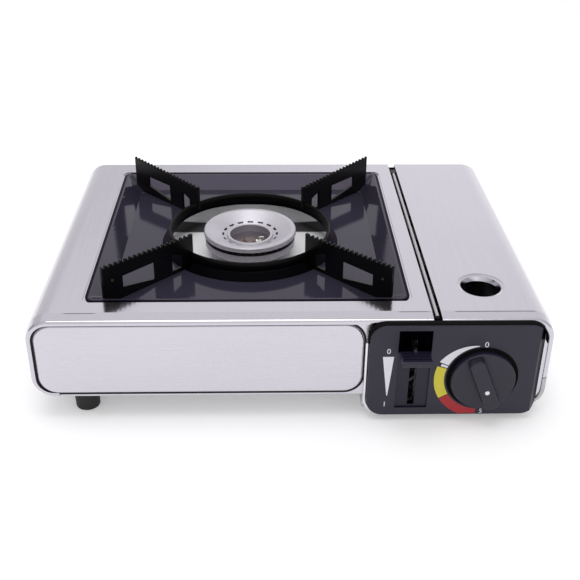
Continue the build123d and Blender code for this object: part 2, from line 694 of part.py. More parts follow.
def hinge_end_cap():
    """Black cap over the rear end of the pin."""
    y0 = REAR_Y - HINGE_REAR + SEAT_GAP
    y1 = REAR_Y - HINGE_REAR + HINGE_CAP_LENGTH
    half = HINGE_CAP_WIDTH / 2
    cap = block(HINGE_X - half, HINGE_X + half, y0, y1, TOP_Z - HINGE_CAP_HEIGHT, TOP_Z)
    return cap - rod_y(HINGE_X, HINGE_Z, HINGE_PIN_RADIUS + FIT_GAP, y0 - OVERRUN, y1 - SHEET)


def foot_places():
    """Places of the four feet, front left first, with the height of the floor's underside there."""
    left = LEFT_X + FOOT_INSET_X
    right = RIGHT_X - FOOT_INSET_X
    front = FRONT_Y + FOOT_INSET_Y
    rear = REAR_Y - FOOT_INSET_Y
    return [
        (left, front, SHELL_BOTTOM_Z),
        (right, front, BASE_Z),
        (left, rear, SHELL_BOTTOM_Z),
        (right, rear, BASE_Z),
    ]


def foot(x, y, under):
    """Rubber foot with a plug that grips the floor's hole from both sides."""
    plug_z = under + SHEET
    plug_top = plug_z + FOOT_STEM
    pad = turned([(0, 0), (FOOT_TIP_RADIUS, 0), (FOOT_RADIUS, under), (0, under)])
    pad = fillet(pad.faces().sort_by(Axis.Z)[0].edges(), FOOT_EDGE)
    pad += rod_z(0, 0, FOOT_STEM_RADIUS, under - FIT_GAP, plug_top)
    pad += turned(
        [
            (0, plug_z + FIT_GAP),
            (FOOT_STEM_RADIUS + SHEET, plug_z + FIT_GAP),
            (FOOT_STEM_RADIUS - SHEET, plug_top),
            (0, plug_top),
        ]
    )
    return Pos(x, y, 0) * pad


def drip_tray():
    """Square pressed dish with a rim, sloping sides and a round collar in the middle."""
    under = TRAY_FLOOR_Z - TRAY_SHEET
    mouth_low = TRAY_MOUTH_HALF + TRAY_SHEET
    floor_low = TRAY_FLOOR_HALF + TRAY_SHEET
    floor_corner = TRAY_CORNER + TRAY_RUN / 2

    def dish(mouth, floor, top_z, floor_z):
        upper = Pos(0, 0, top_z) * RectangleRounded(2 * mouth, 2 * mouth, TRAY_CORNER)
        lower = Pos(0, 0, floor_z) * RectangleRounded(2 * floor, 2 * floor, floor_corner)
        return loft([lower, upper], ruled=True)

    tray = dish(mouth_low, floor_low, TRAY_TOP_Z, under)
    tray -= dish(TRAY_MOUTH_HALF, TRAY_FLOOR_HALF, TRAY_TOP_Z, TRAY_FLOOR_Z)
    tray = at_burner(tray)
    tray += square_frame(TRAY_SIDE / 2, TRAY_MOUTH_HALF, SEAT_Z, TRAY_TOP_Z, TRAY_CORNER)
    tray -= at_burner(rod_z(0, 0, COLLAR_BASE_RADIUS - TRAY_SHEET / 2, 0, TOP_Z))
    top = COLLAR_TOP_Z
    lip = COLLAR_TOP_Z - COLLAR_LIP
    outer = FilletPolyline(
        (COLLAR_BASE_RADIUS, under),
        (COLLAR_OUTER_RADIUS, top),
        (COLLAR_RADIUS, top),
        (COLLAR_RADIUS, lip),
        radius=COLLAR_ROUND,
    )
    inner = FilletPolyline(
        (COLLAR_BASE_RADIUS - TRAY_SHEET, under),
        (COLLAR_OUTER_RADIUS - TRAY_SHEET, top - TRAY_SHEET),
        (COLLAR_RADIUS + TRAY_SHEET, top - TRAY_SHEET),
        (COLLAR_RADIUS + TRAY_SHEET, lip),
        radius=COLLAR_ROUND - TRAY_SHEET,
    )
    ends = [Line(outer @ 0, inner @ 0), Line(outer @ 1, inner @ 1)]
    collar = revolve(Plane.XZ * make_face([outer, inner, *ends]), Axis.Z)
    return tray + at_burner(collar)


def pan_arm(angle):
    """Serrated support plate that stands on the tray's floor and on the collar."""
    crest = COLLAR_TOP_Z + FIT_GAP
    inner = COLLAR_RADIUS - ARM_INNER_INSET
    outer = ARM_OUTER_RADIUS
    slope = TRAY_DEPTH / TRAY_RUN
    foot_z = TRAY_FLOOR_Z + (outer / sqrt(2) - TRAY_FLOOR_HALF) * slope + ARM_FOOT_LIFT
    fall = ARM_TOP_FALL / (outer - inner)
    points = [
        (inner, crest),
        (COLLAR_OUTER_RADIUS + SEAT_GAP, crest),
        (COLLAR_BASE_RADIUS + SEAT_GAP, TRAY_FLOOR_Z),
        (outer - ARM_FOOT_RUN, TRAY_FLOOR_Z),
        (outer, foot_z),
        (outer, ARM_TOP_Z),
    ]
    teeth = int((outer - inner) / TOOTH_PITCH)
    for tooth in range(teeth):
        for share, depth in zip(TOOTH_SHARES, (0, TOOTH_DEPTH, TOOTH_DEPTH, 0)):
            back = (tooth + share) * TOOTH_PITCH
            points.append((outer - back, ARM_TOP_Z - fall * back - depth))
    points.append((inner, ARM_TOP_Z - ARM_TOP_FALL))
    web = COLLAR_BASE_RADIUS + ARM_WEB
    strut = web + ARM_SMALL_WINDOW
    window = strut + ARM_STRUT
    leg = outer - ARM_LEG
    bar_z = ARM_TOP_Z - ARM_BAR
    sill_z = TRAY_FLOOR_Z + ARM_SILL
    large = [(window, sill_z), (leg, sill_z + ARM_LEG_SILL - ARM_SILL), (leg, bar_z), (window, bar_z)]
    small = [(web, sill_z), (strut, sill_z), (strut, bar_z), (web, bar_z - ARM_WEB_DROP)]
    plate = make_face(Polyline(*points, close=True))
    for opening in (large, small):
        plate -= make_face(Polyline(*opening, close=True))
    plate -= Pos(outer - ARM_LEG / 2, bar_z) * Circle(ARM_HOLE_RADIUS)
    return at_burner(Rot(0, 0, angle) * along_y(plate, -ARM_SHEET / 2, ARM_SHEET / 2))


def burner_bowl():
    """Cast bowl with a mixing chamber below and a ledge for the port ring."""
    outer = BOWL_RADIUS
    ledge = PORT_RING_RADIUS + FIT_GAP
    bowl = turned(
        [
            (0, CHAMBER_Z),
            (CHAMBER_RADIUS, CHAMBER_Z),
            (CHAMBER_RADIUS, CHAMBER_TOP_Z),
            (outer, BOWL_CONE_Z),
            (outer, BOWL_TOP_Z),
            (ledge, BOWL_TOP_Z),
            (ledge, BOWL_LEDGE_Z),
            (ledge - BOWL_WALL, BOWL_LEDGE_Z),
            (ledge - BOWL_WALL, BOWL_CONE_Z + BOWL_WALL / 2),
            (CHAMBER_RADIUS - BOWL_WALL, CHAMBER_TOP_Z + BOWL_WALL / 2),
            (CHAMBER_RADIUS - BOWL_WALL, CHAMBER_Z + CHAMBER_FLOOR),
            (0, CHAMBER_Z + CHAMBER_FLOOR),
        ]
    )
    inlet = rod_x(0, MIX_Z, MIX_RADIUS - MIX_WALL, 0, CHAMBER_RADIUS + OVERRUN)
    bowl -= Rot(0, 0, MIX_ANGLE) * inlet
    bowl = at_burner(bowl)
    return bowl - rod_z(ELECTRODE_X, ELECTRODE_Y, ELECTRODE_RADIUS + FIT_GAP, 0, CHAMBER_TOP_Z)


def burner_port_ring():
    """Slotted ring that feeds the outer flame between bowl and cap."""
    wall = Circle(PORT_RING_RADIUS) - Circle(PORT_RING_RADIUS - PORT_RING_WALL)
    ring = along_z(wall, BOWL_LEDGE_Z, CAP_UNDER_Z)
    slot = Rectangle(PORT_RING_WALL + OVERRUN, PORT_WIDTH)
    middle = PORT_RING_RADIUS - PORT_RING_WALL / 2
    slots = Sketch() + PolarLocations(middle, PORT_COUNT) * slot
    return at_burner(ring - along_z(slots, BOWL_TOP_Z, CAP_UNDER_Z + OVERRUN))


def burner_cap():
    """Dished cap with a rim land, a raised well lip and a ring of inner ports."""
    land = CAP_RADIUS - CAP_LAND
    lip = WELL_RADIUS + CAP_WALL
    dish_z = CAP_TOP_Z - CAP_DISH
    seat = PORT_RING_RADIUS - CAP_WALL
    cap = turned(
        [
            (CAP_RADIUS, CAP_UNDER_Z),
            (CAP_RADIUS, CAP_TOP_Z - CAP_ROUND),
            (CAP_RADIUS - CAP_ROUND, CAP_TOP_Z),
            (land, CAP_TOP_Z),
            (lip + CAP_ROUND, dish_z),
            (lip, WELL_TOP_Z),
            (WELL_RADIUS, WELL_TOP_Z),
            (WELL_RADIUS, CORE_SEAT_Z),
            (WELL_RADIUS - CORE_LEDGE, CORE_SEAT_Z),
            (WELL_RADIUS - CORE_LEDGE, WELL_FOOT_Z),
            (lip, WELL_FOOT_Z),
            (lip, dish_z - CAP_WALL),
            (seat, CAP_UNDER_Z + CAP_WALL),
            (seat, CAP_UNDER_Z),
        ]
    )
    port = Rectangle(INNER_PORT_WIDTH, INNER_PORT_LENGTH)
    ports = Sketch() + PolarLocations(INNER_PORT_RING_RADIUS, INNER_PORT_COUNT) * port
    return at_burner(cap - along_z(ports, WELL_FOOT_Z, CAP_TOP_Z + OVERRUN))


def burner_core():
    """Plate in the burner's well, with a raised middle and a hole for the electrode."""
    top = CORE_SEAT_Z + CORE_SHEET
    core = turned(
        [
            (0, CORE_SEAT_Z),
            (WELL_RADIUS - FIT_GAP, CORE_SEAT_Z),
            (WELL_RADIUS - FIT_GAP, top),
            (CORE_BOSS_RADIUS + CORE_BOSS, top),
            (CORE_BOSS_RADIUS, top + CORE_BOSS),
            (0, top + CORE_BOSS),
        ]
    )
    core = at_burner(core)
    return core - rod_z(ELECTRODE_X, ELECTRODE_Y, ELECTRODE_RADIUS + FIT_GAP, 0, TOP_Z)


def burner_stand():
    """Hat-shaped strap that carries the bowl, with feet on the floor."""
    half = STAND_SPAN / 2
    top = CHAMBER_Z
    foot_x = half + STAND_FOOT
    outline = Polyline(
        (-foot_x, DECK_Z),
        (-half + STAND_SHEET, DECK_Z),
        (-half + STAND_SHEET, top - STAND_SHEET),
        (half - STAND_SHEET, top - STAND_SHEET),
        (half - STAND_SHEET, DECK_Z),
        (foot_x, DECK_Z),
        (foot_x, DECK_Z + STAND_SHEET),
        (half, DECK_Z + STAND_SHEET),
        (half, top),
        (-half, top),
        (-half, DECK_Z + STAND_SHEET),
        (-foot_x, DECK_Z + STAND_SHEET),
        close=True,
    )
    stand = along_y(make_face(outline), -STAND_WIDTH / 2, STAND_WIDTH / 2)
    stand = at_burner(Rot(0, 0, MIX_ANGLE + 90) * stand)
    stand -= rod_z(ELECTRODE_X, ELECTRODE_Y, ELECTRODE_RADIUS + RUN_GAP, DECK_Z, TOP_Z)
    return stand - screw_holes()


def bowl_radius_at(z):
    """Outer radius of the bowl's cone at a height."""
    share = (z - CHAMBER_TOP_Z) / BOWL_CONE
    return CHAMBER_RADIUS + (BOWL_RADIUS - CHAMBER_RADIUS) * share


def heat_reflector():
    """Eight-sided bright pan under the tray, on two legs."""
    z1 = REFLECTOR_Z + SHEET
    wall_top = TRAY_FLOOR_Z - TRAY_SHEET - RUN_GAP
    around = REFLECTOR_APOTHEM / cos(radians(180 / REFLECTOR_SIDES))
    within = (REFLECTOR_APOTHEM - SHEET) / cos(radians(180 / REFLECTOR_SIDES))
    turn = 180 / REFLECTOR_SIDES
    outline = RegularPolygon(around, REFLECTOR_SIDES, rotation=turn)
    pan = along_z(outline, REFLECTOR_Z, wall_top)
    pan -= along_z(RegularPolygon(within, REFLECTOR_SIDES, rotation=turn), z1, wall_top + OVERRUN)
    pan -= rod_z(0, 0, bowl_radius_at(z1) + RUN_GAP, REFLECTOR_Z - OVERRUN, z1 + OVERRUN)
    half = REFLECTOR_LEG_WIDTH / 2
    for side in (-1, 1):
        x = side * (REFLECTOR_APOTHEM - REFLECTOR_LEG_INSET)
        x0, x1 = sorted((x, x - side * SHEET))
        pan += block(x0, x1, -half, half, DECK_Z, REFLECTOR_Z)
        x0, x1 = sorted((x - side * SHEET, x + side * REFLECTOR_FOOT))
        pan += block(x0, x1, -half, half, DECK_Z, DECK_Z + SHEET)
    return at_burner(pan)


def along_mix(shape):
    """Turn a shape that points along X from the burner's axis into the gas inlet's direction."""
    return at_burner(Rot(0, 0, MIX_ANGLE) * shape)


def mixing_tube():
    """Tube from the jet to the mixing chamber, with air slots at its mouth."""
    end = CHAMBER_RADIUS + MIX_LENGTH
    tube = rod_x(0, MIX_Z, MIX_RADIUS, 0, end)
    tube -= rod_z(0, 0, CHAMBER_RADIUS, 0, TOP_Z)
    tube -= rod_x(0, MIX_Z, MIX_RADIUS - MIX_WALL, -OVERRUN, end + OVERRUN)
    middle = end - MIX_AIR_LENGTH
    for index in range(MIX_AIR_COUNT):
        half = MIX_AIR_WIDTH / 2
        x0 = middle - MIX_AIR_LENGTH / 2
        x1 = middle + MIX_AIR_LENGTH / 2
        slot = block(x0, x1, -half, half, 0, MIX_RADIUS + OVERRUN)
        tube -= Pos(0, 0, MIX_Z) * Rot(360 * (index + 0.5) / MIX_AIR_COUNT, 0, 0) * slot
    return along_mix(tube)


def jet_seat():
    """Distance of the jet bracket's inner face from the burner's axis."""
    return CHAMBER_RADIUS + MIX_LENGTH + SEAT_GAP


def gas_jet():
    """Brass jet whose tip reaches into the mixing tube's mouth."""
    seat = jet_seat()
    tip = seat - JET_REACH
    jet = rod_x(0, MIX_Z, JET_TIP_RADIUS, tip, tip + JET_TIP)
    jet += rod_x(0, MIX_Z, JET_RADIUS, seat + BRACKET_SHEET, tip + JET_LENGTH)
    return along_mix(jet)


def jet_bracket():
    """Angle plate that holds the jet in line with the mixing tube."""
    seat = jet_seat()
    half = JET_BRACKET_WIDTH / 2
    plate = block(seat, seat + BRACKET_SHEET, -half, half, DECK_Z, MIX_Z + MIX_RADIUS)
    plate += block(seat, seat + JET_BRACKET_FOOT, -half, half, DECK_Z, DECK_Z + BRACKET_SHEET)
    plate -= rod_x(0, MIX_Z, JET_TIP_RADIUS + FIT_GAP, seat - OVERRUN, seat + OVERRUN)
    return along_mix(plate) - screw_holes()


def gas_pipe():
    """Bent tube from the regulator's outlet along the floor to the jet."""
    reach = jet_seat() - JET_REACH + JET_LENGTH
    turn = radians(MIX_ANGLE)
    jet_end = (BURNER_X + reach * cos(turn), BURNER_Y + reach * sin(turn))
    corner = (
        jet_end[0] + PIPE_RUN_OUT * cos(turn),
        jet_end[1] + PIPE_RUN_OUT * sin(turn),
    )
    lane_z = FLOOR_Z + PIPE_LANE / 2
    deck_z = DECK_Z + PIPE_RADIUS + PIPE_DECK_GAP
    top_x = STEP_X + PIPE_CLIMB
    path = FilletPolyline(
        (OUTLET_X, OUTLET_Y, OUTLET_Z),
        (OUTLET_X - PIPE_TURN_X, OUTLET_Y, OUTLET_Z),
        (OUTLET_X - PIPE_TURN_X - PIPE_LANE, OUTLET_Y, lane_z),
        (top_x + PIPE_CLIMB_RUN, OUTLET_Y, lane_z),
        (top_x, OUTLET_Y, deck_z),
        (*corner, deck_z),
        (*corner, MIX_Z),
        (*jet_end, MIX_Z),
        radius=PIPE_BEND,
    )
    start = Plane(origin=path @ 0, z_dir=path % 0)
    return sweep(start * (Circle(PIPE_RADIUS) - Circle(PIPE_RADIUS - PIPE_WALL)), path)


def lever_slot(y0, y1):
    """Upright slot that the lock lever's arm swings in."""
    half = SLOT_WIDTH / 2
    return block(LEVER_X - half, LEVER_X + half, y0, y1, TOP_Z - SLOT_BOTTOM, TOP_Z - SLOT_TOP)


def control_panel():
    """Moulded control panel with a lever pocket, a channel, a slot and a stem boss."""
    outline = rounded_rect(PANEL_LEFT_X, PANEL_RIGHT_X, PANEL_BOTTOM_Z, PANEL_TOP_Z, PANEL_CORNER)
    panel = along_y(outline, PANEL_FACE_Y, PANEL_BACK_Y)
    panel = fillet(panel.faces().sort_by(Axis.Y)[0].edges(), PANEL_EDGE)
    bevel = Polyline(
        (PANEL_RIGHT_X - PANEL_BEVEL, PANEL_FACE_Y),
        (PANEL_RIGHT_X + OVERRUN, PANEL_FACE_Y - OVERRUN),
        (PANEL_RIGHT_X + OVERRUN, PANEL_BACK_Y),
        (PANEL_RIGHT_X, PANEL_BACK_Y),
        close=True,
    )
    panel -= along_z(make_face(bevel), PANEL_BOTTOM_Z - OVERRUN, PANEL_TOP_Z + OVERRUN)

    def inset_outline(inset):
        x0 = PANEL_LEFT_X + inset
        x1 = PANEL_RIGHT_X - inset
        return rounded_rect(x0, x1, PANEL_BOTTOM_Z + inset, PANEL_TOP_Z - inset, PANEL_CORNER - SPIGOT_INSET)

    panel += along_y(inset_outline(SPIGOT_INSET), PANEL_BACK_Y - SHEET, PLATE_FRONT_Y)
    half = POCKET_WIDTH / 2
    pocket_z0 = TOP_Z - POCKET_TOP - POCKET_HEIGHT
    pocket_z1 = TOP_Z - POCKET_TOP
    pocket_y = PANEL_FACE_Y + POCKET_DEPTH
    tub = block(
        LEVER_X - half - POCKET_WALL,
        LEVER_X + half + POCKET_WALL,
        PANEL_FACE_Y,
        pocket_y + POCKET_WALL,
        pocket_z0 - POCKET_WALL,
        pocket_z1 + POCKET_WALL,
    )
    boss = rod_y(KNOB_X, KNOB_Z, STEM_RADIUS + RUN_GAP + PANEL_WALL, PANEL_FACE_Y, PANEL_BACK_Y)
    hollow = inset_outline(SPIGOT_INSET + PANEL_WALL)
    cavity = along_y(hollow, PANEL_FACE_Y + PANEL_WALL, PLATE_FRONT_Y + OVERRUN)
    panel -= cavity - tub - boss
    x0 = LEVER_X - half
    x1 = LEVER_X + half
    panel -= block(x0, x1, PANEL_FACE_Y - OVERRUN, pocket_y, pocket_z0, pocket_z1)
    channel_y = PANEL_FACE_Y + CHANNEL_DEPTH
    panel -= block(x0, x1, PANEL_FACE_Y - OVERRUN, channel_y, TOP_Z - CHANNEL_BOTTOM, pocket_z1)
    panel -= lever_slot(PANEL_FACE_Y - OVERRUN, PLATE_FRONT_Y + OVERRUN)
    return panel - rod_y(KNOB_X, KNOB_Z, STEM_RADIUS + RUN_GAP, PANEL_FACE_Y - OVERRUN, PLATE_FRONT_Y)


def stem_outline(gap):
    """Round outline with one flat, at the knob's axis."""
    radius = STEM_RADIUS + gap
    flat = rect(KNOB_X - radius, KNOB_X + radius, KNOB_Z + STEM_FLAT + gap, KNOB_Z + radius + OVERRUN)
    return Pos(KNOB_X, KNOB_Z) * Circle(radius) - flat


def control_knob():
    """Knob with a round base, a tapered grip bar and a blind hole for the stem."""
    y1 = PANEL_FACE_Y - SEAT_GAP
    y0 = y1 - KNOB_BASE
    tip = PANEL_FACE_Y - KNOB_REACH
    base = rod_y(KNOB_X, KNOB_Z, KNOB_RADIUS, y0, y1)
    base = fillet(base.faces().sort_by(Axis.Y)[0].edges(), KNOB_EDGE)
    half_length = KNOB_RADIUS - GRIP_END_INSET
    bar = rounded_rect(-GRIP_WIDTH / 2, GRIP_WIDTH / 2, -half_length, half_length, GRIP_WIDTH / 3)
    grip = extrude(Plane.XZ * bar, amount=y0 - tip + KNOB_EDGE, taper=GRIP_TAPER)
    grip = fillet(grip.faces().sort_by(Axis.Y)[0].edges(), GRIP_EDGE)
    knob = base + Pos(KNOB_X, y0 + KNOB_EDGE, KNOB_Z) * Rot(0, -GRIP_LEAN, 0) * grip
    knob -= along_y(stem_outline(FIT_GAP), tip + PANEL_WALL, y1 + OVERRUN)
    return knob - rod_y(*dot_place(), DOT_RADIUS + FIT_GAP, tip - OVERRUN, tip + DOT_DEPTH)


def dot_place():
    """Place of the index dot on the grip's face, below the knob's axis."""
    lean = radians(GRIP_LEAN)
    return KNOB_X + DOT_REACH * sin(lean), KNOB_Z - DOT_REACH * cos(lean)


def knob_index_dot():
    """White dot set into the grip bar."""
    tip = PANEL_FACE_Y - KNOB_REACH
    return rod_y(*dot_place(), DOT_RADIUS, tip, tip + DOT_DEPTH)


def valve_stem():
    """Flatted stem from the valve barrel into the knob."""
    barrel_y = FRONT_Y + BARREL_FRONT
    stem = along_y(stem_outline(0), PANEL_FACE_Y - KNOB_REACH + PANEL_WALL + FIT_GAP, PANEL_FACE_Y)
    return stem + rod_y(KNOB_X, KNOB_Z, STEM_RADIUS, PANEL_FACE_Y, barrel_y + BARREL_BORE - FIT_GAP)


def lever_bar(angle, reach, width):
    """Round-ended bar from the lever's pivot, at an angle above the forward direction."""
    bar = Rot(0, 0, 180 - angle) * Pos(reach / 2, 0) * SlotCenterToCenter(reach, width)
    return Pos(PIVOT_Y, PIVOT_Z) * bar


def lever_arm():
    """Steel arm with a hub, a crank and its pin."""
    x0 = LEVER_X - LEVER_SHEET / 2
    x1 = LEVER_X + LEVER_SHEET / 2
    outline = lever_bar(LEVER_REST_ANGLE, LEVER_REACH, LEVER_BAR)
    outline += Pos(PIVOT_Y, PIVOT_Z) * Circle(LEVER_HUB)
    outline += lever_bar(90 + LEVER_SWING / 2, CRANK_REACH, CRANK_BAR)
    outline -= Pos(PIVOT_Y, PIVOT_Z) * Circle(LEVER_PIN_RADIUS + FIT_GAP)
    pin_end = FLANGE_X + CARRIAGE_SHEET + RUN_GAP
    return along_x(outline, x0, x1) + rod_x(CRANK_Y, CRANK_Z, CRANK_PIN_RADIUS, x1, pin_end)


def lever_paddle():
    """Thumb paddle moulded over the arm's front end, with grip ridges on top."""
    y0 = PANEL_FACE_Y - PADDLE_REACH
    y1 = PANEL_FACE_Y - PADDLE_CLEAR
    half = PADDLE_WIDTH / 2
    top = PADDLE_Z + PADDLE_HEIGHT / 2
    paddle = block(LEVER_X - half, LEVER_X + half, y0, y1, PADDLE_Z - PADDLE_HEIGHT / 2, top)
    paddle = fillet(paddle.faces().sort_by(Axis.Y)[0].edges(), PADDLE_EDGE)
    for index in range(PADDLE_RIDGES):
        y = y0 + PADDLE_RIDGE_PITCH * (index + 1)
        groove = block(
            LEVER_X - half + PADDLE_EDGE,
            LEVER_X + half - PADDLE_EDGE,
            y,
            y + PADDLE_RIDGE_PITCH / 2,
            top - PADDLE_RIDGE_DEPTH,
            top + OVERRUN,
        )
        paddle -= groove
    return paddle - lever_arm()


def lever_pin():
    """Cross pin that the lock lever turns on."""
    x0 = LEVER_X - LEVER_EAR_LEFT - BRACKET_SHEET
    x1 = LEVER_X + LEVER_EAR_RIGHT + BRACKET_SHEET
    return rod_x(PIVOT_Y, PIVOT_Z, LEVER_PIN_RADIUS, x0, x1)


def lever_bracket():
    """U bracket on the floor, with two ears for the pin and collars that centre the arm."""
    left = LEVER_X - LEVER_EAR_LEFT
    right = LEVER_X + LEVER_EAR_RIGHT
    half = LEVER_EAR_WIDTH / 2
    ear_top = PIVOT_Z + LEVER_PIN_RADIUS + BRACKET_SHEET
    ends = (PIVOT_Y - half, PIVOT_Y + half)
    bracket = block(left - BRACKET_SHEET, right + BRACKET_SHEET, *ends, FLOOR_Z, FLOOR_Z + BRACKET_SHEET)
    bracket += block(left - BRACKET_SHEET, left, *ends, FLOOR_Z, ear_top)
    bracket += block(right, right + BRACKET_SHEET, *ends, FLOOR_Z, ear_top)
    arm_half = LEVER_SHEET / 2 + SEAT_GAP
    collar = LEVER_PIN_RADIUS + BRACKET_SHEET
    bracket += rod_x(PIVOT_Y, PIVOT_Z, collar, left, LEVER_X - arm_half)
    bracket += rod_x(PIVOT_Y, PIVOT_Z, collar, LEVER_X + arm_half, right)
    bracket -= rod_x(PIVOT_Y, PIVOT_Z, LEVER_PIN_RADIUS + FIT_GAP, left - OVERRUN, right + OVERRUN)
    return bracket - screw_holes()


def carriage_outline():
    """Front outline of the carriage plate with its open notch for the cartridge's neck."""
    half = GUIDE_PIN_SPREAD + GUIDE_PIN_RADIUS + CARRIAGE_MARGIN
    bottom = BAY_AXIS_Z - GUIDE_PIN_DROP - GUIDE_PIN_RADIUS - CARRIAGE_MARGIN
    top = BAY_AXIS_Z + CARRIAGE_TOP
    plate = rect(BAY_AXIS_X - half, BAY_AXIS_X + half, bottom, top)
    bridge_z0 = CRANK_Z - CARRIAGE_BRIDGE_BELOW
    plate += rect(FLANGE_X, BAY_AXIS_X - half + CARRIAGE_MARGIN, bridge_z0, CRANK_Z + CARRIAGE_BRIDGE_ABOVE)
    plate -= Pos(BAY_AXIS_X, BAY_AXIS_Z) * Circle(CARRIAGE_NOTCH)
    notch_top = top + OVERRUN
    plate -= rect(BAY_AXIS_X - CARRIAGE_NOTCH, BAY_AXIS_X + CARRIAGE_NOTCH, BAY_AXIS_Z, notch_top)
    for side in (-1, 1):
        hole = Circle(GUIDE_PIN_RADIUS + FIT_GAP)
        plate -= Pos(BAY_AXIS_X + side * GUIDE_PIN_SPREAD, BAY_AXIS_Z - GUIDE_PIN_DROP) * hole
    return plate


def cartridge_carriage():
    """Fork that pulls the cartridge to the valve, with a slotted flange for the crank pin."""
    carriage = along_y(carriage_outline(), CARRIAGE_Y, CARRIAGE_Y + CARRIAGE_SHEET)
    z0 = CRANK_Z - CARRIAGE_BRIDGE_BELOW
    z1 = CRANK_Z + CARRIAGE_BRIDGE_ABOVE
    y1 = CARRIAGE_Y + CARRIAGE_FLANGE_LENGTH
    carriage += block(FLANGE_X, FLANGE_X + CARRIAGE_SHEET, CARRIAGE_Y, y1, z0, z1)
    slot_half = CRANK_PIN_RADIUS + SEAT_GAP
    slot_z = slot_half + CRANK_SLOT_TRAVEL / 2
    slot_y = (CRANK_Y - slot_half, CRANK_Y + slot_half)
    slot = rounded_rect(*slot_y, CRANK_Z - slot_z, CRANK_Z + slot_z, CRANK_PIN_RADIUS)
    return carriage - along_x(slot, FLANGE_X - OVERRUN, FLANGE_X + OVERRUN)


def guide_pins():
    """Two pins on the valve bracket that the carriage slides on."""
    pins = Part()
    for side in (-1, 1):
        x = BAY_AXIS_X + side * GUIDE_PIN_SPREAD
        z = BAY_AXIS_Z - GUIDE_PIN_DROP
        pins += rod_y(x, z, GUIDE_PIN_RADIUS, VALVE_BRACKET_REAR_Y, FRONT_Y + GUIDE_PIN_BACK)
    return pins


def valve_bracket():
    """Upright plate that carries the regulator, with a foot on the floor."""
    x0 = BAY_LEFT_X + VALVE_BRACKET_INSET
    x1 = RIGHT_X - BAY_CORNER
    foot_y = VALVE_BRACKET_REAR_Y + VALVE_BRACKET_FOOT
    foot_z = FLOOR_Z + VALVE_BRACKET_SHEET
    top = TOP_Z - SHEET - VALVE_BRACKET_TOP
    plate = block(x0, x1, VALVE_BRACKET_Y, VALVE_BRACKET_REAR_Y, FLOOR_Z, top)
    plate += block(x0, x1, VALVE_BRACKET_Y, foot_y, FLOOR_Z, foot_z)
    hole = rod_y(BAY_AXIS_X, BAY_AXIS_Z, SOCKET_RADIUS + FIT_GAP, VALVE_BRACKET_Y - OVERRUN, foot_y)
    return plate - hole - screw_holes()


def regulator_body():
    """Cast regulator: diaphragm housing, valve barrel, cartridge socket and gas outlet."""
    front = VALVE_BRACKET_Y - REGULATOR_DEPTH
    body = rod_y(BAY_AXIS_X, BAY_AXIS_Z, REGULATOR_RADIUS, front, VALVE_BRACKET_Y)
    body += rod_y(BAY_AXIS_X, BAY_AXIS_Z, REGULATOR_CROWN_RADIUS, front - REGULATOR_CROWN, front)
    barrel_y = FRONT_Y + BARREL_FRONT
    body += rod_y(KNOB_X, KNOB_Z, BARREL_RADIUS, barrel_y, VALVE_BRACKET_Y)
    socket_end = VALVE_BRACKET_Y + SOCKET_LENGTH
    body += rod_y(BAY_AXIS_X, BAY_AXIS_Z, SOCKET_RADIUS, VALVE_BRACKET_Y, socket_end)
    body += rod_x(OUTLET_Y, OUTLET_Z, OUTLET_RADIUS, OUTLET_X, BAY_AXIS_X)
    bottom = socket_end - SOCKET_DEPTH
    body -= rod_y(BAY_AXIS_X, BAY_AXIS_Z, SOCKET_BORE, bottom, socket_end + OVERRUN)
    body -= rod_y(BAY_AXIS_X, BAY_AXIS_Z, SEAL_RADIUS + FIT_GAP, bottom - SEAL_HEIGHT, bottom + OVERRUN)
    return body - rod_y(KNOB_X, KNOB_Z, STEM_RADIUS + FIT_GAP, barrel_y - OVERRUN, barrel_y + BARREL_BORE)


def cartridge_seal():
    """Rubber ring let into the bottom of the cartridge socket."""
    bottom = VALVE_BRACKET_Y + SOCKET_LENGTH - SOCKET_DEPTH
    ring = Pos(BAY_AXIS_X, BAY_AXIS_Z) * (Circle(SEAL_RADIUS) - Circle(SEAL_BORE))
    return along_y(ring, bottom - SEAL_HEIGHT, bottom)


def piezo_igniter():
    """Piezo unit fixed to the valve bracket, with a collar and a plunger end."""
    y0 = VALVE_BRACKET_Y - PIEZO_LENGTH
    unit = rod_y(PIEZO_X, PIEZO_Z, PIEZO_RADIUS, y0 + PIEZO_RADIUS, VALVE_BRACKET_Y)
    return unit + rod_y(PIEZO_X, PIEZO_Z, PIEZO_RADIUS / 2, y0, y0 + PIEZO_RADIUS)


def electrode_ceramic():
    """White insulator through the burner's well, with a collar that hangs on the core."""
    z0 = CHAMBER_Z - ELECTRODE_TAIL
    top = CORE_SEAT_Z + CORE_SHEET
    rod = rod_z(ELECTRODE_X, ELECTRODE_Y, ELECTRODE_RADIUS, z0, top + ELECTRODE_HEAD)
    return rod + rod_z(ELECTRODE_X, ELECTRODE_Y, ELECTRODE_RADIUS + SHEET, top, top + SHEET)


def electrode_tip():
    """Bent spark wire on top of the insulator."""
    z0 = CORE_SEAT_Z + CORE_SHEET + ELECTRODE_HEAD
    path = FilletPolyline(
        (ELECTRODE_X, ELECTRODE_Y, z0),
        (ELECTRODE_X, ELECTRODE_Y, z0 + TIP_RISE),
        (ELECTRODE_X + TIP_REACH, ELECTRODE_Y, z0 + TIP_RISE),
        radius=2 * TIP_RADIUS,
    )
    return sweep(Plane(origin=path @ 0, z_dir=path % 0) * Circle(TIP_RADIUS), path)


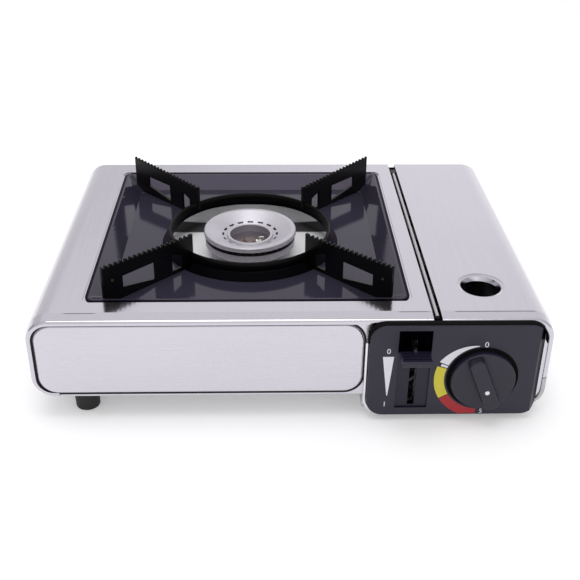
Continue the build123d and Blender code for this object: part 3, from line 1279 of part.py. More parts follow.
def ignition_lead():
    """Insulated lead from the piezo unit along the floor and up to the insulator's tail."""
    lane_y = VALVE_BRACKET_Y - PIEZO_LENGTH + PIEZO_RADIUS + LEAD_HEIGHT
    lane_z = FLOOR_Z + LEAD_HEIGHT
    deck_z = DECK_Z + LEAD_HEIGHT
    start_x = PIEZO_X - PIEZO_RADIUS
    path = FilletPolyline(
        (start_x, lane_y, PIEZO_Z),
        (start_x - LEAD_BEND, lane_y, PIEZO_Z),
        (start_x - 3 * LEAD_BEND, lane_y, lane_z),
        (STEP_X + 2 * LEAD_BEND, lane_y, lane_z),
        (STEP_X + LEAD_BEND / 2, lane_y, deck_z),
        (ELECTRODE_X, lane_y + 4 * LEAD_BEND, deck_z),
        (ELECTRODE_X, ELECTRODE_Y, deck_z),
        (ELECTRODE_X, ELECTRODE_Y, CHAMBER_Z - ELECTRODE_TAIL),
        radius=LEAD_BEND,
    )
    return sweep(Plane(origin=path @ 0, z_dir=path % 0) * Circle(LEAD_RADIUS), path)


def screw_places():
    """Places of the floor screws with the floor's height and the sheet on it, bracket by bracket."""
    places = []
    stand = radians(MIX_ANGLE + 90)
    reach = STAND_SPAN / 2 + STAND_FOOT / 2
    for side in (-1, 1):
        x = BURNER_X + side * reach * cos(stand)
        places.append((x, BURNER_Y + side * reach * sin(stand), DECK_Z, STAND_SHEET))
    jet = jet_seat() + BRACKET_SHEET + JET_BRACKET_FOOT / 2
    turn = radians(MIX_ANGLE)
    places.append((BURNER_X + jet * cos(turn), BURNER_Y + jet * sin(turn), DECK_Z, BRACKET_SHEET))
    places.append((LEVER_X + LEVER_EAR_RIGHT / 2, PIVOT_Y, FLOOR_Z, BRACKET_SHEET))
    bracket_y = VALVE_BRACKET_REAR_Y + VALVE_BRACKET_FOOT / 2
    for side in (-1, 1):
        x = BAY_AXIS_X + side * GUIDE_PIN_SPREAD / 2
        places.append((x, bracket_y, FLOOR_Z, VALVE_BRACKET_SHEET))
    return places


def screw_holes():
    """Clearance holes of the floor screws, through the floor and the feet on it."""
    holes = Part()
    for x, y, floor_z, sheet in screw_places():
        holes += rod_z(x, y, SCREW_RADIUS + FIT_GAP, floor_z - OVERRUN, floor_z + sheet + OVERRUN)
    return holes


def floor_screws():
    """Pan-head screws that hold the brackets down on the floor."""
    screws = Part()
    for x, y, floor_z, sheet in screw_places():
        seat = floor_z + sheet
        screws += rod_z(x, y, SCREW_RADIUS, floor_z - SHEET, seat + SCREW_HEAD / 2)
        screws += rod_z(x, y, SCREW_HEAD_RADIUS, seat, seat + SCREW_HEAD)
    return screws


FOOT_NAMES = ("foot_front_left", "foot_front_right", "foot_rear_left", "foot_rear_right")
ARM_NAMES = ("pan_arm_rear_right", "pan_arm_rear_left", "pan_arm_front_left", "pan_arm_front_right")
SINGLE_PIECES = (
    top_shell,
    base_pan,
    front_panel,
    rear_panel,
    bay_partition,
    cartridge_rails,
    cartridge_lid,
    hinge_fixed_leaf,
    hinge_lid_leaf,
    hinge_pin,
    hinge_end_cap,
    drip_tray,
    burner_bowl,
    burner_port_ring,
    burner_cap,
    burner_core,
    burner_stand,
    heat_reflector,
    mixing_tube,
    gas_jet,
    jet_bracket,
    gas_pipe,
    control_panel,
    control_knob,
    knob_index_dot,
    valve_stem,
    lever_arm,
    lever_paddle,
    lever_pin,
    lever_bracket,
    cartridge_carriage,
    guide_pins,
    valve_bracket,
    regulator_body,
    cartridge_seal,
    piezo_igniter,
    electrode_ceramic,
    electrode_tip,
    ignition_lead,
    floor_screws,
)


def all_pieces():
    """Every piece of the stove by its node's name."""
    pieces = {make.__name__: make() for make in SINGLE_PIECES}
    for name, place in zip(FOOT_NAMES, foot_places()):
        pieces[name] = foot(*place)
    for index, name in enumerate(ARM_NAMES):
        pieces[name] = pan_arm(360 * (index + 0.5) / ARM_COUNT)
    return pieces


os.makedirs("parts", exist_ok=True)
for piece_name, piece in all_pieces().items():
    export_step(piece, f"parts/{piece_name}.step")
    print(f"{piece_name}: {piece.volume:.1f} mm3")
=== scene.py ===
import logging
import math
from dataclasses import dataclass, field
from enum import Enum
from typing import Any, ClassVar

import bpy
from mathutils import Matrix, Vector


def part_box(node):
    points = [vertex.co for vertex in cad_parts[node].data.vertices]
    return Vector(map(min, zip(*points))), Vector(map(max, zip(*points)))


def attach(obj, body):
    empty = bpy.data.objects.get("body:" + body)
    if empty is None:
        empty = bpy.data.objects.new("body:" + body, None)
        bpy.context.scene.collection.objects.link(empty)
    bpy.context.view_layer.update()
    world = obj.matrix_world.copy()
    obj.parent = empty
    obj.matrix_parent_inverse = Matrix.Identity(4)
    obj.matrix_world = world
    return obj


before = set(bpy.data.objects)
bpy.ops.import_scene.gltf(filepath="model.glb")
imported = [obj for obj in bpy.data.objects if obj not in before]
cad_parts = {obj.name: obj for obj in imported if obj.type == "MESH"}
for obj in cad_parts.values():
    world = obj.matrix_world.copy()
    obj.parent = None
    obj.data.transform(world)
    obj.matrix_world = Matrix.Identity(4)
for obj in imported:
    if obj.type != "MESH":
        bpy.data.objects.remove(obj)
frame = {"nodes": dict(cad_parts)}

LOG = logging.getLogger("portable_stove")
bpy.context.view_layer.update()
MM = 0.001
WELD = 0.001 * MM
SMOOTH_ANGLE = math.radians(35)
EDGE_STEPS = 2

Colour = tuple[float, float, float]
Box = tuple[Vector, Vector]


def linear(colour: Colour, share: float = 1.0) -> tuple[float, float, float, float]:
    """Turn a screen colour into the linear colour that shaders use, lighter or darker.

    Args:
        colour: Red, green and blue from 0 to 1, as they look on a screen.
        share: Factor on the linear values.

    Returns:
        The linear colour with full opacity.
    """
    parts = [c / 12.92 if c <= 0.04045 else ((c + 0.055) / 1.055) ** 2.4 for c in colour]
    return (parts[0] * share, parts[1] * share, parts[2] * share, 1.0)


class Wire:
    """A shader socket whose operators add Math nodes."""

    def __init__(self, owner: "NodeTree", socket: bpy.types.NodeSocket) -> None:
        """Keep the socket and the node tree that it belongs to."""
        self.owner = owner
        self.socket = socket

    def _math(self, operation: str, first: Any, second: Any) -> "Wire":
        """Add one Math node on two values or wires."""
        return self.owner.node("ShaderNodeMath", {"operation": operation}, {0: first, 1: second})

    def __add__(self, other: Any) -> "Wire":
        """Sum."""
        return self._math("ADD", self, other)

    def __radd__(self, other: Any) -> "Wire":
        """Sum with a number on the left."""
        return self._math("ADD", other, self)

    def __sub__(self, other: Any) -> "Wire":
        """Difference."""
        return self._math("SUBTRACT", self, other)

    def __rsub__(self, other: Any) -> "Wire":
        """Difference with a number on the left."""
        return self._math("SUBTRACT", other, self)

    def __mul__(self, other: Any) -> "Wire":
        """Product."""
        return self._math("MULTIPLY", self, other)

    def __rmul__(self, other: Any) -> "Wire":
        """Product with a number on the left."""
        return self._math("MULTIPLY", other, self)

    def over(self, limit: float) -> "Wire":
        """One where the value is above a limit, else nought."""
        return self._math("GREATER_THAN", self, limit)

    def larger(self, other: Any) -> "Wire":
        """The larger of two values."""
        return self._math("MAXIMUM", self, other)

    def about(self, size: float) -> "Wire":
        """A value from 0 to 1 as a swing of a given size about nought."""
        return (self - 0.5) * size


class NodeTree:
    """A node tree under construction."""

    def __init__(self, tree: bpy.types.NodeTree) -> None:
        """Keep the tree that nodes are added to."""
        self.tree = tree

    def feed(self, socket: bpy.types.NodeSocket, value: Any) -> None:
        """Link a wire to a socket, or set the socket's value."""
        if isinstance(value, Wire):
            self.tree.links.new(value.socket, socket)
        else:
            socket.default_value = value

    def node(
        self, kind: str, settings: dict[str, Any], inputs: dict[Any, Any], output: Any = 0
    ) -> Wire:
        """Add a node with its settings and its inputs.

        Args:
            kind: Node type.
            settings: Properties of the node.
            inputs: Values or wires by socket name or number.
            output: Name or number of the socket to hand on.

        Returns:
            The chosen output.
        """
        made = self.tree.nodes.new(kind)
        for key, value in settings.items():
            setattr(made, key, value)
        for key, value in inputs.items():
            self.feed(made.inputs[key], value)
        return Wire(self, made.outputs[output])

    def part(self, vector: Wire, axis: str) -> Wire:
        """One coordinate of a vector."""
        return self.node("ShaderNodeSeparateXYZ", {}, {"Vector": vector}, axis)

    def ray(self, kind: str) -> Wire:
        """One for a kind of ray, such as Is Camera Ray, else nought."""
        return self.node("ShaderNodeLightPath", {}, {}, kind)

    def spread(
        self, value: Wire, low: float, high: float, to_low: float = 0.0, to_high: float = 1.0
    ) -> Wire:
        """Stretch the values between two limits to a new range and hold them there.

        Args:
            value: What to stretch.
            low: Value that becomes the new range's start.
            high: Value that becomes its end.
            to_low: Start of the new range.
            to_high: End of the new range.

        Returns:
            The stretched value.
        """
        inputs = {"Value": value, "From Min": low, "From Max": high}
        inputs |= {"To Min": to_low, "To Max": to_high}
        return self.node("ShaderNodeMapRange", {"clamp": True}, inputs)

    def fall(self, value: Wire, low: float, high: float) -> Wire:
        """One up to a lower limit, falling to nought at a higher one."""
        return self.spread(value, low, high, 1.0, 0.0)


class Shader(NodeTree):
    """A material under construction."""

    def __init__(self, name: str) -> None:
        """Start a material with its Principled shader."""
        self.material = bpy.data.materials.new(name)
        self.material.use_nodes = True
        super().__init__(self.material.node_tree)
        self.body = self.tree.nodes["Principled BSDF"]

    def place(self, scale: Vector = Vector((1, 1, 1)), centre: Vector = Vector((0, 0, 0))) -> Wire:
        """Object coordinates, stretched and moved.

        Args:
            scale: Factor along each axis.
            centre: Point that becomes the pattern's origin, in metres.

        Returns:
            The mapped coordinates.
        """
        spot = self.node("ShaderNodeTexCoord", {}, {}, "Object")
        shift = Vector((-centre.x * scale.x, -centre.y * scale.y, -centre.z * scale.z))
        inputs = {"Vector": spot, "Location": shift, "Scale": scale}
        return self.node("ShaderNodeMapping", {}, inputs)

    def noise(self, spot: Wire, scale: float, detail: float = 2.0, roughness: float = 0.5) -> Wire:
        """Fractal noise from 0 to 1.

        Args:
            spot: Coordinates.
            scale: Waves per unit of the coordinates.
            detail: Octaves.
            roughness: Weight of the finer octaves.

        Returns:
            The noise value.
        """
        inputs = {"Vector": spot, "Scale": scale, "Detail": detail, "Roughness": roughness}
        return self.node("ShaderNodeTexNoise", {}, inputs)

    def vector(
        self, operation: str, first: Any, second: Any = Vector((0, 0, 0)), output: str = "Vector"
    ) -> Wire:
        """Add one Vector Math node.

        Args:
            operation: What it does.
            first: First vector.
            second: Second vector, if the operation takes one.
            output: Name of the socket to hand on.

        Returns:
            The chosen output.
        """
        inputs = {0: first, 1: second}
        return self.node("ShaderNodeVectorMath", {"operation": operation}, inputs, output)

    def length(self, vector: Wire) -> Wire:
        """Length of a vector."""
        return self.vector("LENGTH", vector, output="Value")

    def mix(self, factor: Any, first: Any, second: Any) -> Wire:
        """Blend two colours by a factor."""
        inputs = {0: factor, 6: first, 7: second}
        return self.node("ShaderNodeMix", {"data_type": "RGBA"}, inputs, 2)

    def bump(self, height: Wire, strength: float, distance: float) -> None:
        """Let a height pattern tilt the surface's normals.

        Args:
            height: Pattern from 0 to 1.
            strength: Share of the effect.
            distance: Height of the pattern, in metres.
        """
        inputs = {"Height": height, "Strength": strength, "Distance": distance}
        self.feed(self.body.inputs["Normal"], self.node("ShaderNodeBump", {}, inputs))

    def set(self, **inputs: Any) -> None:
        """Set or link inputs of the Principled shader, with _ for the spaces in their names."""
        for key, value in inputs.items():
            self.feed(self.body.inputs[key.replace("_", " ")], value)


class Brushing(Enum):
    """Direction in which a steel sheet was brushed."""

    ALONG_X = Vector((0.02, 1.0, 1.0))
    ALONG_Y = Vector((1.0, 0.02, 1.0))


@dataclass(frozen=True)
class Finish:
    """A surface finish that builds its own material."""

    made: ClassVar[dict[str, bpy.types.Material]] = {}
    tones: ClassVar[tuple[float, float]]

    name: str
    colour: Colour
    roughness: float

    def material(self) -> bpy.types.Material:
        """Build the material once and hand it out again later.

        Returns:
            The node material of this finish.
        """
        if self.name not in self.made:
            shader = Shader(self.name)
            self.paint(shader)
            self.made[self.name] = shader.material
        return self.made[self.name]

    def paint(self, shader: Shader) -> None:
        """Fill in the material's nodes; each finish has its own."""
        raise NotImplementedError

    def shade(self, shader: Shader, tone: Wire) -> Wire:
        """Blend from the darkest to the lightest share of the colour by a tone from 0 to 1."""
        dark, light = self.tones
        return shader.mix(tone, linear(self.colour, dark), linear(self.colour, light))


class Plane(Enum):
    """Plane that a pattern lies in, as the share of each axis that counts."""

    FRONT = Vector((1, 0, 1))
    TOP = Vector((1, 1, 0))


@dataclass(frozen=True)
class ShadeOutline:
    """Painted shade: a dark line just outside a rounded rectangle."""

    low: Vector
    high: Vector
    corner: float
    width: float
    plane: Plane = Plane.FRONT
    fade: float = 0.3 * MM

    def mask(self, shader: Shader) -> Wire:
        """One just outside the rectangle, else nought."""
        half = (self.high - self.low) / 2 - Vector((self.corner,) * 3)
        inner = Vector(side * flat for side, flat in zip(half, self.plane.value))
        spot = shader.place(self.plane.value, (self.low + self.high) / 2)
        past = shader.vector("SUBTRACT", shader.vector("ABSOLUTE", spot), inner)
        reach = shader.length(shader.vector("MAXIMUM", past, Vector((0, 0, 0))))
        outer = self.corner + self.width
        near = shader.spread(reach, self.corner, self.corner + self.fade)
        return near * shader.fall(reach, outer, outer + self.fade)


@dataclass(frozen=True)
class ShadeShaft:
    """Painted shade farther than a radius from a rod along Y."""

    axis: Vector
    radius: float
    fade: float = 0.12 * MM

    def mask(self, shader: Shader) -> Wire:
        """One farther than the radius from the axis, else nought."""
        reach = shader.length(shader.place(Plane.FRONT.value, self.axis))
        return shader.spread(reach, self.radius, self.radius + self.fade)


@dataclass(frozen=True)
class ShadeDisc:
    """Painted shade within a radius of an upright axis."""

    axis: Vector
    radius: float
    fade: float = 0.4 * MM

    def mask(self, shader: Shader) -> Wire:
        """One within the radius, else nought."""
        reach = shader.length(shader.place(Plane.TOP.value, self.axis))
        return shader.fall(reach, self.radius, self.radius + self.fade)


@dataclass(frozen=True)
class ShadeBand:
    """Band of painted shade along the rear fold of a pan, with a thinner share on the wall above
    it.
    """

    origin: Vector
    start: float
    end: float
    rise: float = 1.8
    # Share of the painted shade on the wall above the band.
    haze: float = 0.15
    fade: float = 2.0 * MM

    def mask(self, shader: Shader) -> Wire:
        """One in the band, a share above it and nought on the floor before it."""
        spot = shader.place(centre=self.origin)
        along = shader.part(spot, "Y") + shader.part(spot, "Z") * self.rise
        thin = shader.spread(along, self.end, self.end + self.fade, 1.0, self.haze)
        return thin * shader.spread(along, self.start - self.fade, self.start)


@dataclass(frozen=True)
class Depth:
    """Painted shade in the recesses behind a front face."""

    face: float
    start: float = 0.8 * MM
    end: float = 2.6 * MM

    def mask(self, shader: Shader) -> Wire:
        """One deep behind the face, nought at the face."""
        along = shader.part(shader.place(), "Y")
        return shader.spread(along, self.face + self.start, self.face + self.end)


@dataclass(frozen=True)
class ShadeCreases:
    """Painted shade along short pressed creases across the top plate, at one Y."""

    y: float
    spans: tuple[tuple[float, float], ...]
    width: float = 0.5 * MM
    fade: float = 2.5 * MM
    strength: float = 0.75

    def mask(self, shader: Shader) -> Wire:
        """The strength on a line, fading to nought at its ends."""
        away = shader.length(shader.place(Vector((0, 1, 0)), Vector((0, self.y, 0))))
        across = shader.part(shader.place(), "X")
        total: Any = 0.0
        for low, high in self.spans:
            start = shader.spread(across, low, low + self.fade)
            total = start * shader.fall(across, high - self.fade, high) + total
        return total * shader.spread(away, self.width / 2, self.width, self.strength, 0.0)


@dataclass(frozen=True)
class BrushedSteel(Finish):
    """Rolled sheet with fine brushing lines and faint clouds, with painted shade in its hollows,
    creases and gaps.
    """

    tones = (0.965, 1.025)
    contrast: ClassVar[tuple[float, float]] = (0.3, 0.7)
    streak_share: ClassVar[float] = 0.65
    streak_gloss: ClassVar[float] = 0.12
    streak_height: ClassVar[float] = 0.1 * MM
    cloud_scale: ClassVar[float] = 14.0
    cloud_gloss: ClassVar[float] = 0.05
    painted_shade_tone: ClassVar[float] = 0.05
    painted_shade_gloss: ClassVar[float] = 0.35

    brushing: Brushing = Brushing.ALONG_Y
    lines: float = 900.0
    depth: float = 0.03
    metal: float = 1.0
    painted_shade: ShadeOutline | ShadeShaft | ShadeCreases | ShadeBand | None = None

    def paint(self, shader: Shader) -> None:
        """Brushing lines in colour, gloss and relief, and the painted shade where its mask falls.
        """
        spot = shader.place(self.brushing.value)
        streak = shader.noise(spot, self.lines, detail=3.0, roughness=0.6)
        cloud = shader.noise(shader.place(), self.cloud_scale)
        blend = streak * self.streak_share + cloud * (1.0 - self.streak_share)
        base = self.shade(shader, shader.spread(blend, *self.contrast))
        gloss = self.roughness + streak.about(self.streak_gloss) + cloud.about(self.cloud_gloss)
        # Painted shade: where the mask falls, the steel turns near-black and rough.
        if self.painted_shade:
            shaded = self.painted_shade.mask(shader)
            base = shader.mix(shaded, base, linear(self.colour, self.painted_shade_tone))
            gloss = gloss + shaded * self.painted_shade_gloss
        shader.set(Base_Color=base, Roughness=gloss, Metallic=self.metal)
        shader.bump(streak, self.depth, self.streak_height)


@dataclass(frozen=True)
class ZincPlated(Finish):
    """Plated sheet with a faint spangle of zinc crystals."""

    tones = (0.86, 1.1)
    crystal_share: ClassVar[float] = 0.6
    crystal_gloss: ClassVar[float] = 0.14
    haze_scale: ClassVar[float] = 30.0
    haze_gloss: ClassVar[float] = 0.08
    haze_height: ClassVar[float] = 0.2 * MM
    relief: ClassVar[float] = 0.03

    crystals: float = 240.0

    def paint(self, shader: Shader) -> None:
        """One tone and gloss for each crystal, under a fine haze."""
        spot = shader.place()
        inputs = {"Vector": spot, "Scale": self.crystals}
        cell = shader.node("ShaderNodeTexVoronoi", {}, inputs, "Color")
        tone = shader.part(cell, "X")
        haze = shader.noise(spot, self.haze_scale, detail=3.0)
        blend = tone * self.crystal_share + haze * (1.0 - self.crystal_share)
        shader.set(
            Base_Color=self.shade(shader, blend),
            Roughness=self.roughness + tone.about(self.crystal_gloss) + haze.about(self.haze_gloss),
            Metallic=1.0,
        )
        shader.bump(haze, self.relief, self.haze_height)


@dataclass(frozen=True)
class FiredEnamel(Finish):
    """Fired enamel: glossy, with a slight orange peel and dust grains, and painted black shade in
    places.
    """

    tones = (0.8, 1.3)
    shade_colour: ClassVar[Colour] = (0.045, 0.043, 0.055)
    wave_scale: ClassVar[float] = 320.0
    wave_height: ClassVar[float] = 0.4 * MM
    grain_scale: ClassVar[float] = 1500.0
    grain_limit: ClassVar[float] = 0.74
    grain_gloss: ClassVar[float] = 0.12
    haze_scale: ClassVar[float] = 22.0
    haze_gloss: ClassVar[float] = 0.04
    shade_places_gloss: ClassVar[float] = 0.4

    peel: float = 0.02
    shine: float = 0.5
    tint: Colour = (1.0, 1.0, 1.0)
    shade_places: tuple[ShadeOutline | ShadeDisc, ...] = ()

    def paint(self, shader: Shader) -> None:
        """Gentle waves in the gloss, with small matt grains and places painted black for shade."""
        spot = shader.place()
        wave = shader.noise(spot, self.wave_scale)
        grain = shader.noise(spot, self.grain_scale, detail=1.0).over(self.grain_limit)
        haze = shader.noise(spot, self.haze_scale, detail=3.0)
        gloss = self.roughness + haze * self.haze_gloss + grain * self.grain_gloss
        base = self.shade(shader, haze)
        metal: Any = 0.0
        # Painted shade and dark reflection: the masked places turn black, rough and metallic.
        for place in self.shade_places:
            darkened = place.mask(shader)
            gloss = gloss + darkened * self.shade_places_gloss
            base = shader.mix(darkened, base, linear(self.shade_colour))
            metal = darkened.larger(metal)
        shader.set(
            Base_Color=base,
            Roughness=gloss,
            Metallic=metal,
            Specular_IOR_Level=self.shine,
            Specular_Tint=linear(self.tint),
        )
        shader.bump(wave, self.peel, self.wave_height)


@dataclass(frozen=True)
class CastAlloy(Finish):
    """Satin cast metal, with turning marks about an upright axis and a heat tint round it."""

    tones = (0.88, 1.06)
    contrast: ClassVar[tuple[float, float]] = (0.25, 0.75)
    grain_scale: ClassVar[float] = 700.0
    grain_share: ClassVar[float] = 0.5
    grain_gloss: ClassVar[float] = 0.16
    stain_scale: ClassVar[float] = 60.0
    mark_wobble: ClassVar[float] = 0.4
    relief: ClassVar[float] = 0.1
    relief_height: ClassVar[float] = 0.2 * MM
    heat_colour: ClassVar[Colour] = (0.42, 0.33, 0.28)
    heat_share: ClassVar[float] = 0.6
    heat_core: ClassVar[float] = 0.3
    heat_edge: ClassVar[float] = 10.0 * MM

    centre: Vector = Vector((0, 0, 0))
    marks: float = 0.0
    tint_radius: float = 0.0

    def paint(self, shader: Shader) -> None:
        """Casting grain, soft stains, turning marks and heat tint."""
        spot = shader.place()
        grain = shader.noise(spot, self.grain_scale, detail=3.0, roughness=0.6)
        stain = shader.noise(spot, self.stain_scale, detail=3.0)
        blend = grain * self.grain_share + stain * (1.0 - self.grain_share)
        base = self.shade(shader, shader.spread(blend, *self.contrast))
        height = grain
        if self.marks:
            rings = self.turning_marks(shader)
            height = grain * self.grain_share + rings * (1.0 - self.grain_share)
        if self.tint_radius:
            heat = self.heat(shader, stain)
            base = shader.mix(heat * self.heat_share, base, linear(self.heat_colour))
        gloss = self.roughness + grain.about(self.grain_gloss)
        shader.set(Base_Color=base, Roughness=gloss, Metallic=1.0)
        shader.bump(height, self.relief, self.relief_height)

    def turning_marks(self, shader: Shader) -> Wire:
        """Fine rings round the upright axis."""
        spot = shader.place(centre=self.centre)
        inputs = {"Vector": spot, "Scale": self.marks, "Distortion": self.mark_wobble}
        settings = {"wave_type": "RINGS", "rings_direction": "Z"}
        return shader.node("ShaderNodeTexWave", settings, inputs, "Fac")

    def heat(self, shader: Shader, stain: Wire) -> Wire:
        """One near the axis, falling to nought at the tint's uneven edge."""
        flat = shader.place(Plane.TOP.value, self.centre)
        reach = shader.length(flat) + stain.about(self.heat_edge)
        return shader.spread(reach, self.tint_radius, self.tint_radius * self.heat_core)


@dataclass(frozen=True)
class MouldedPlastic(Finish):
    """Moulded plastic or rubber with a fine spark-eroded grain."""

    tones = (0.85, 1.2)
    worn_scale: ClassVar[float] = 45.0
    worn_gloss: ClassVar[float] = 0.12
    painted_shade_tone: ClassVar[float] = 0.1
    grain_height: ClassVar[float] = 0.2 * MM

    grain: float = 2600.0
    relief: float = 0.1
    shine: float = 0.5
    painted_shade: Depth | None = None

    def paint(self, shader: Shader) -> None:
        """Fine grain, with handling shine where it is worn smooth and painted shade in the panel's
        pockets.
        """
        spot = shader.place()
        grain = shader.noise(spot, self.grain)
        worn = shader.noise(spot, self.worn_scale, detail=3.0)
        base = self.shade(shader, grain)
        # Painted shade: deeper than the front face, the plastic turns near-black.
        if self.painted_shade:
            shaded = self.painted_shade.mask(shader)
            base = shader.mix(shaded, base, linear(self.colour, self.painted_shade_tone))
            shader.set(Metallic=shaded)
        shader.set(
            Base_Color=base,
            Roughness=self.roughness + worn.about(self.worn_gloss),
            Specular_IOR_Level=self.shine,
        )
        shader.bump(grain, self.relief, self.grain_height)


@dataclass(frozen=True)
class PrintedInk(Finish):
    """Screen-printed ink: thin, slightly uneven in cover."""

    tones = (0.88, 1.02)
    mesh_scale: ClassVar[float] = 900.0
    cover_gloss: ClassVar[float] = 0.1

    def paint(self, shader: Shader) -> None:
        """Uneven cover at the scale of the printing mesh."""
        cover = shader.noise(shader.place(), self.mesh_scale, detail=3.0)
        shader.set(
            Base_Color=self.shade(shader, cover),
            Roughness=self.roughness + cover.about(self.cover_gloss),
        )


def middle(node: str) -> Vector:
    """Middle of a CAD node's box."""
    low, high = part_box(node)
    return (low + high) / 2


def front_of(node: str) -> float:
    """Y of a CAD node's front, in metres."""
    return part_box(node)[0].y


BURNER_AXIS = middle("burner_cap")
# Painted shade on the hinge: dark beside the knuckles' light bead.
HINGE_BEAD_SHADE = ShadeShaft(middle("hinge_pin"), radius=1.3 * MM)
EMBOSS_LOW = Vector((-164.2, 0, 20.3)) * MM
EMBOSS_HIGH = Vector((46.3, 0, 71.4)) * MM
EMBOSS_RISE = 1.1 * MM
# Painted shade in the groove round the front panel's embossed plate.
FRONT_EMBOSS_SHADE = ShadeOutline(EMBOSS_LOW, EMBOSS_HIGH, corner=12.0 * MM, width=1.7 * MM)
TRAY_LOW, TRAY_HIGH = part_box("drip_tray")
TRAY_INSET = Vector((2.1, 2.1, 0)) * MM
# Painted shade: a black line round the drip tray's rim, where it meets the casing.
TRAY_RIM_SHADE = ShadeOutline(
    TRAY_LOW + TRAY_INSET, TRAY_HIGH - TRAY_INSET, corner=4.5 * MM, width=6.0 * MM, plane=Plane.TOP
)
# Painted shade and dark reflection: the burner collar and the tray round it turn black.
COLLAR_SHADE = ShadeDisc(BURNER_AXIS, radius=65.6 * MM)
REFLECTOR_FLOOR = Vector((0, BURNER_AXIS.y, 54.8 * MM))
# Painted shade along the reflector's rear fold and on its rear wall.
REFLECTOR_SHADE = ShadeBand(REFLECTOR_FLOOR, start=37.0 * MM, end=53.0 * MM)
CREASE_SETBACK = 9.0 * MM
CREASE_HALF = 11.0 * MM
LID_CREASE_LEFT = 8.0 * MM
LID_CREASE_RIGHT = 12.0 * MM
LID_LOW, LID_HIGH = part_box("cartridge_lid")
# Painted shade in the creases pressed across the top plate and lid.
TOP_CREASE_SHADE = ShadeCreases(
    front_of("top_shell") + CREASE_SETBACK,
    (
        (TRAY_LOW.x - CREASE_HALF, TRAY_LOW.x + CREASE_HALF),
        (TRAY_HIGH.x - CREASE_HALF, TRAY_HIGH.x + CREASE_HALF),
        (LID_LOW.x + LID_CREASE_LEFT, LID_HIGH.x - LID_CREASE_RIGHT),
    ),
)
POCKET_SHADE = Depth(front_of("control_panel"))

SHELL_STEEL = BrushedSteel("brushed_stainless", (0.80, 0.79, 0.822), 0.14, painted_shade=TOP_CREASE_SHADE)
# Painted light: the front panel's copy of the stainless is lighter than the top's.
FRONT_STEEL = BrushedSteel(
    "brushed_stainless_front", (0.815, 0.805, 0.835), 0.28, Brushing.ALONG_X, painted_shade=FRONT_EMBOSS_SHADE
)
# Painted shade: the rear panel's copy of the stainless is darker than the top's.
REAR_STEEL = BrushedSteel("brushed_stainless_rear", (0.77, 0.765, 0.785), 0.3, Brushing.ALONG_X)
# Painted highlight: lighter steel for the strip along the control panel's left edge.
HIGHLIGHT_STEEL = BrushedSteel("highlight_steel", (0.90, 0.89, 0.91), 0.25)
BENT_STEEL = BrushedSteel("bent_steel", (0.70, 0.70, 0.705), 0.38, Brushing.ALONG_X, lines=500.0)
HINGE_STEEL = BrushedSteel("hinge_steel", (0.74, 0.73, 0.75), 0.3, lines=500.0, painted_shade=HINGE_BEAD_SHADE)
# Painted reflection: the reflector's steel is near-white and not metallic, so it shows as bright as
# the surroundings it would mirror.
BRIGHT_STEEL = BrushedSteel(
    "aluminised_steel",
    (0.985, 0.985, 0.99),
    0.4,
    Brushing.ALONG_X,
    lines=600.0,
    depth=0.01,
    metal=0.0,
    painted_shade=REFLECTOR_SHADE,
)
ZINC = ZincPlated("zinc_plated_steel", (0.70, 0.705, 0.715), 0.36)
TRAY_ENAMEL = FiredEnamel(
    "tray_enamel",
    (0.19, 0.18, 0.232),
    0.07,
    shine=0.26,
    tint=(0.96, 0.91, 1.0),
    shade_places=(TRAY_RIM_SHADE, COLLAR_SHADE),
)
ARM_ENAMEL = FiredEnamel("arm_enamel", (0.02, 0.02, 0.025), 0.28, peel=0.04, shine=0.25)
BEAD_ENAMEL = FiredEnamel("bead_enamel", (0.02, 0.02, 0.024), 0.3, shine=0.1)
LEVER_BLACK = FiredEnamel("lever_black", (0.07, 0.07, 0.075), 0.4, peel=0.04, shine=0.3)
BURNER_ALLOY = CastAlloy("cast_burner_alloy", (0.79, 0.78, 0.805), 0.46, BURNER_AXIS, marks=900.0)
# Painted shade: the bowl's copy of the burner alloy is darker than the cap's.
BOWL_ALLOY = CastAlloy("cast_bowl_alloy", (0.64, 0.63, 0.655), 0.38, BURNER_AXIS, marks=900.0)
PORT_STEEL = CastAlloy("burner_port_steel", (0.2, 0.195, 0.205), 0.5)
CORE_STEEL = CastAlloy(
    "burner_core_steel", (0.52, 0.50, 0.535), 0.3, BURNER_AXIS, marks=700.0, tint_radius=16.0 * MM
)
VALVE_ALLOY = CastAlloy("cast_valve_alloy", (0.70, 0.70, 0.70), 0.42)
BRASS = CastAlloy("turned_brass", (0.82, 0.66, 0.36), 0.28)
PANEL_PLASTIC = MouldedPlastic("panel_plastic", (0.085, 0.07, 0.155), 0.42, painted_shade=POCKET_SHADE)
KNOB_PLASTIC = MouldedPlastic("knob_plastic", (0.085, 0.072, 0.145), 0.44)
BLACK_PLASTIC = MouldedPlastic("matt_black_plastic", (0.07, 0.07, 0.078), 0.5)
# Painted shade: near-black sheet material for the strip over the panel's top edge and the ring
# round the knob.
SHADE_BLACK = MouldedPlastic("painted_shade_black", (0.03, 0.03, 0.035), 0.85, grain=1800.0, shine=0.1)
BLACK_RUBBER = MouldedPlastic("foot_rubber", (0.05, 0.05, 0.055), 0.62, grain=1200.0, relief=0.2)
WHITE_PLASTIC = MouldedPlastic(
    "white_inlay_plastic", (0.93, 0.93, 0.935), 0.35, grain=2000.0, relief=0.04
)
CERAMIC = MouldedPlastic("glazed_ceramic", (0.93, 0.92, 0.89), 0.18, grain=900.0, relief=0.03)
WHITE_INK = PrintedInk("white_ink", (0.93, 0.93, 0.95), 0.45)
YELLOW_INK = PrintedInk("yellow_ink", (0.86, 0.81, 0.24), 0.45)
RED_INK = PrintedInk("red_ink", (0.68, 0.11, 0.15), 0.45)


